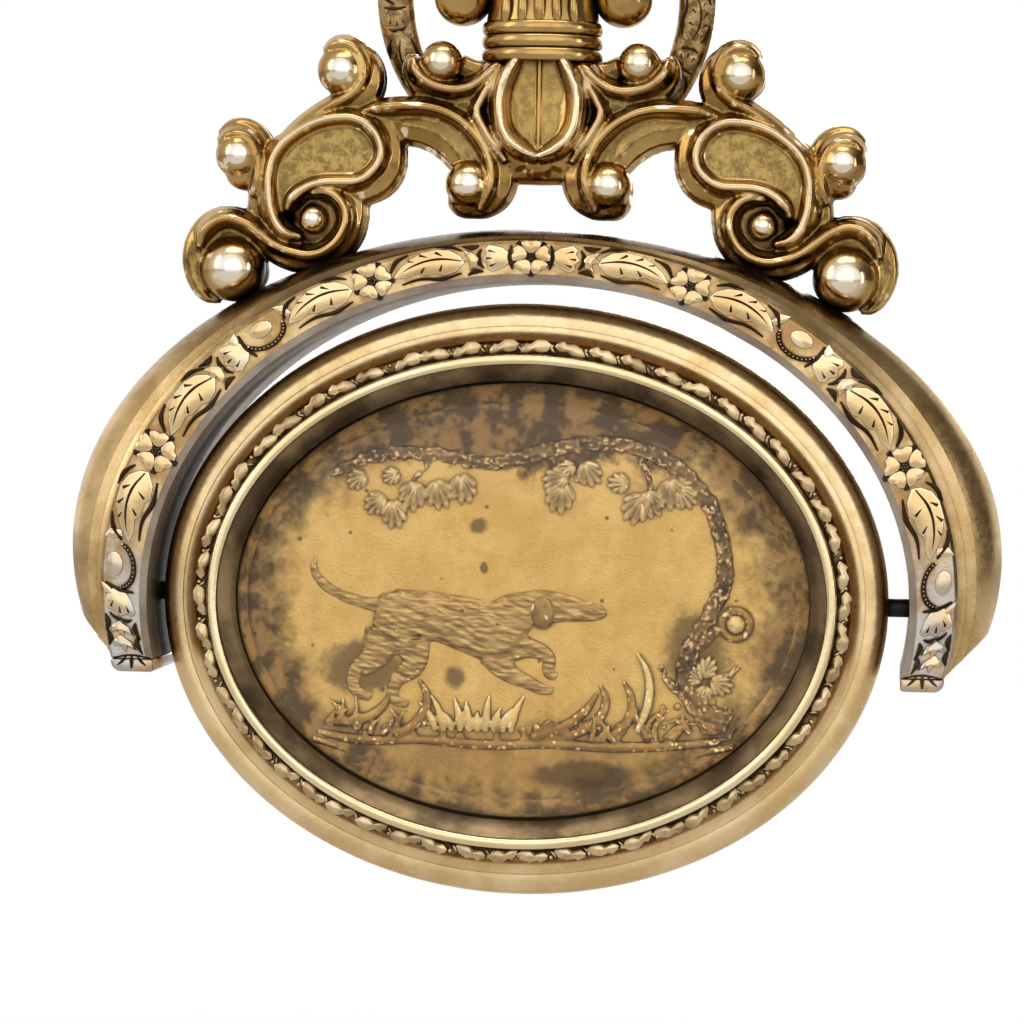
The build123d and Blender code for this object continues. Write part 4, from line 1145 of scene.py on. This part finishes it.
# Relief on the front foil, in millimetres: a hound crossing a meadow under an oak bough
relief = {
    "front": .63, "height": .38, "flat": .75, "voxel": .06,
    "hound": (
        (
            (-7.3, -37.2, .9), (-6.4, -37.4, 1.35), (-5.2, -37.35, 1.2), (-4.1, -37.45, 1.2), (-2.7, -37.8, 1.35),
            (-1.6, -38.0, 1.45), (-.8, -37.3, 1.15), (0.0, -36.9, .86), (.9, -36.8, .82), (1.8, -36.85, .66),
            (2.7, -36.95, .52), (3.3, -37.0, .42), (3.65, -37.05, .18),
        ),
        (
            (-7.0, -36.9, .4), (-8.1, -36.75, .3), (-9.2, -36.35, .26), (-10.0, -35.8, .26), (-10.35, -35.1, .2),
            (-10.2, -34.7, .1),
        ),
        ((-6.9, -38.4, 1.05), (-7.5, -39.5, .66), (-8.3, -40.2, .38), (-8.2, -41.0, .3), (-7.5, -41.3, .24)),
        ((-5.6, -38.5, .95), (-5.5, -39.7, .6), (-6.3, -40.5, .36), (-6.4, -41.3, .28), (-5.7, -41.6, .22)),
        ((-1.7, -39.0, .85), (-1.0, -39.9, .52), (-.1, -40.35, .36), (.7, -40.7, .3), (1.2, -40.75, .2)),
        ((-.7, -38.7, .75), (.2, -38.8, .46), (.95, -39.2, .34), (.95, -39.9, .3), (1.35, -40.1, .22)),
    ),
    "ear": (.62, -37.05, .62, .6),
    "oak": (
        (
            (9.5, -42.1, .6), (8.2, -41.5, .6), (7.5, -40.2, .5), (7.7, -38.5, .46), (8.5, -37.0, .42),
            (9.15, -35.4, .42), (9.0, -33.5, .4), (8.0, -31.2, .42), (6.0, -29.6, .42), (3.5, -29.0, .38),
            (.3, -29.5, .42), (-1.7, -30.05, .36), (-4.5, -29.7, .38), (-7.4, -29.8, .34), (-9.6, -30.7, .22),
        ),
        ((-4.9, -29.9, .2), (-5.6, -30.9, .16), (-6.3, -31.9, .12)),
        ((.9, -29.6, .2), (1.6, -30.4, .16), (2.4, -30.9, .12)),
        ((5.2, -29.7, .2), (5.6, -30.9, .16), (5.4, -31.9, .12)),
        ((8.0, -38.4, .34), (8.9, -37.6, .26), (9.6, -36.6, .2)),
        ((7.7, -41.0, .3), (6.8, -40.4, .2), (6.2, -39.4, .12)),
        ((8.2, -40.8, .3), (9.2, -40.0, .26), (10.0, -39.3, .18)),
    ),
    "leafRibs": ((-44, 1.05), (-26, 1.38), (-8, 1.6), (10, 1.62), (28, 1.36), (46, 1.0)),
    "sprigs": (
        (-7.0, -31.7, -140, .78), (-6.6, -31.9, -85, .9), (-5.5, -31.0, -105, .95), (-4.6, -30.9, -75, .95),
        (-3.4, -30.6, -80, .95), (-7.9, -30.7, -150, .7), (-6.3, -30.6, -160, .6), (1.7, -30.6, -165, .85),
        (1.5, -30.9, -105, 1.0), (2.4, -29.9, -60, .85), (2.0, -30.0, -150, .6), (5.3, -31.4, -120, 1.0),
        (5.4, -31.2, -70, .9), (6.5, -30.6, -80, 1.0), (6.9, -31.0, -50, .8), (4.6, -30.9, 175, .7),
        (8.2, -39.9, 60, .7), (8.6, -40.1, -20, .75), (8.4, -40.3, -100, .6), (8.2, -40.1, 150, .65),
    ),
    "tufts": (
        (-9.0, -42.6, 7, 1.5), (-6.9, -43.0, 5, 1.2), (.9, -43.1, 5, 1.2), (3.6, -43.1, 6, 1.4), (6.2, -42.9, 8, 1.9),
        (8.4, -42.6, 9, 1.6),
    ),
    "swirls": (
        ((-6.3, -43.1, .22), (-5.2, -42.3, .26), (-4.8, -41.2, .2), (-5.2, -40.4, .08)),
        ((-9.6, -42.5, .2), (-8.2, -42.4, .26), (-7.0, -41.8, .22), (-6.5, -40.9, .08)),
        ((.2, -43.0, .22), (1.6, -42.5, .26), (2.7, -41.7, .22), (3.3, -40.8, .08)),
        ((1.8, -43.0, .2), (3.2, -42.2, .24), (3.7, -41.2, .2), (3.4, -40.4, .07)),
        ((3.9, -42.9, .18), (4.8, -42.0, .24), (4.9, -41.0, .18), (4.5, -40.2, .07)),
    ),
    "brightBlade": ((5.2, -42.6, .14), (5.7, -41.2, .22), (5.65, -39.8, .17), (5.1, -38.8, .07)),
    "sheaf": (-4.4, -42.7, 10, .4, 1.3),
    "ground": (
        (-10.0, -43.0, .2), (-8.0, -43.3, .26), (-5.0, -43.25, .22), (-2.0, -43.4, .26), (1.0, -43.3, .22),
        (4.0, -43.35, .28), (7.0, -43.2, .24), (9.5, -42.9, .2),
    ),
    "acorn": (9.75, -37.4, .46, .88), "earScale": (.92, 1.25, .9), "coat": (1.2, 4.6, 1.9, .3, .4),
    "bark": ((1, .3, 3.4, 1.5), (0, .07, 2.6, 4.5), (2, .07, 2.6, 8.5)), "ribWidth": .46, "ribHeight": .5,
    "lean": (35, 145), "reach": (.6, 1.0), "bend": (-.5, .5), "foot": (-.7, .7), "lift": (0, .4),
    "bladeRadii": (.15, .12, .04), "stones": 64, "stoneX": (-9.4, 10.2), "stoneZ": (-43.2, -42.2),
    "bank": (4.0, 0.0, .4), "stoneRadius": (.12, .27), "stoneDepth": (.7, 1.2), "oval": (12.2, 9.1, -36.5, .92),
    "sheafLean": .13, "sheafRadii": (.14, .21, .17, .05),
}
hound = joined([sweep(points, 0) for points in relief["hound"]], "houndRelief")
remeshed(hound, relief["voxel"] * 1.1, 8)
along, across, slant, amount, fullDepth = relief["coat"]
for vertex in hound.data.vertices:  # strands of the coat
    x, depth, z = vertex.co
    strand = noise.noise((x * along, 0.0, z * across + x * slant))
    vertex.co.y += amount * strand * min(max(-depth, 0.0) / fullDepth, 1.0)
ear = ball(*relief["ear"])
ear.scale = relief["earScale"]
ear = joined([ear], "houndEarRelief")
oak = joined([sweep(points, 0) for points in relief["oak"]], "oakRelief")
modifierApplied(oak, "REMESH", mode="VOXEL", voxel_size=relief["voxel"])
for vertex in oak.data.vertices:  # rough bark
    x, _, z = vertex.co
    for axis, amount, scale, layer in relief["bark"]:
        vertex.co[axis] += amount * noise.noise((x * scale, layer, z * scale))
leaves = []
for x, z, turnedBy, size in relief["sprigs"]:
    for fanned, reach in relief["leafRibs"]:
        tip = onOval(turnedBy + fanned, size * reach, size * reach, x, z)
        leaves.append(rib((x, z), tip, relief["ribWidth"] * size, relief["ribHeight"]))
leafage = joined(leaves, "leafRelief")
scenery = [sweep(relief["ground"], 0)] + [sweep(points, 0.1) for points in relief["swirls"]]
draw = random.Random(11)
low, middle, tip = relief["bladeRadii"]
for x, z, blades, tall in relief["tufts"]:
    for _ in range(blades):
        lean = math.radians(draw.uniform(*relief["lean"]))
        reach = tall * draw.uniform(*relief["reach"])
        bent = lean + draw.uniform(*relief["bend"])
        foot = x + draw.uniform(*relief["foot"])
        scenery.append(sweep((
            (foot, z, low), (foot + 0.5 * reach * math.cos(lean), z + 0.55 * reach * math.sin(lean), middle),
            (foot + reach * math.cos(bent), z + reach * math.sin(bent), tip),
        ), draw.uniform(*relief["lift"])))
bankFrom, *bankRise = relief["bank"]
wide, tall, centre, share = relief["oval"]
for _ in range(relief["stones"]):  # loose leaves and stones on the ground
    x, z = draw.uniform(*relief["stoneX"]), draw.uniform(*relief["stoneZ"])
    z += max(x - bankFrom, 0.0) * draw.uniform(*bankRise)
    if (x / wide) ** 2 + ((z - centre) / tall) ** 2 < share:
        scenery.append(ball(x, z, draw.uniform(*relief["stoneRadius"]), 0, draw.uniform(*relief["stoneDepth"])))
meadow = joined(scenery, "meadowRelief")
remeshed(meadow, relief["voxel"], 1)
bright = [sweep(relief["brightBlade"], 0.3)]
x, z, ribs, step, tall = relief["sheaf"]
for index in range(ribs):
    foot, top = x + step * index, tall * (0.85 + 0.3 * math.sin(2.3 * index))
    lean = relief["sheafLean"] * (index - ribs / 2)
    points = ((foot, z - 0.1), (foot + 0.2 * lean, z + 0.35 * top), (foot + 0.6 * lean, z + 0.75 * top),
              (foot + 1.2 * lean, z + 1.15 * top))
    bright.append(sweep([(*point, radius) for point, radius in zip(points, relief["sheafRadii"])], 0.1))
x, z, radius, cupRadius = relief["acorn"]
bright.append(ball(x, z, radius, 0, 1.3))
bright = joined(bright, "brightRelief")
remeshed(bright, relief["voxel"], 2)
bpy.ops.object.select_all(action="DESELECT")
bpy.ops.mesh.primitive_torus_add(
    major_radius=(radius + cupRadius) / 2, minor_radius=(cupRadius - radius) / 2, major_segments=40,
    minor_segments=12, location=(x, 0, z), rotation=(math.pi / 2, 0, 0),
)
acornCup = joined([bpy.context.object], "acornCupRelief")
modifierApplied(acornCup, "SUBSURF", levels=1, render_levels=1)
for piece, material, deepest in (
    (hound, houndFoil, 1.5), (ear, earFoil, 1.3), (oak, oakFoil, 0.8), (leafage, leafFoil, 0.8),
    (meadow, reliefFoil, 0.7), (bright, brightFoil, 0.7), (acornCup, reliefFoil, 0.4),
):
    for vertex in piece.data.vertices:  # flattened to a low relief on the foil
        rise = min(max(-vertex.co.y, 0.0) / deepest, 1.1)
        vertex.co.y = -relief["front"] - relief["height"] * rise ** relief["flat"]
    inMetres(piece, 60)
    piece.data.materials.append(material)
    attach(piece, "seal")
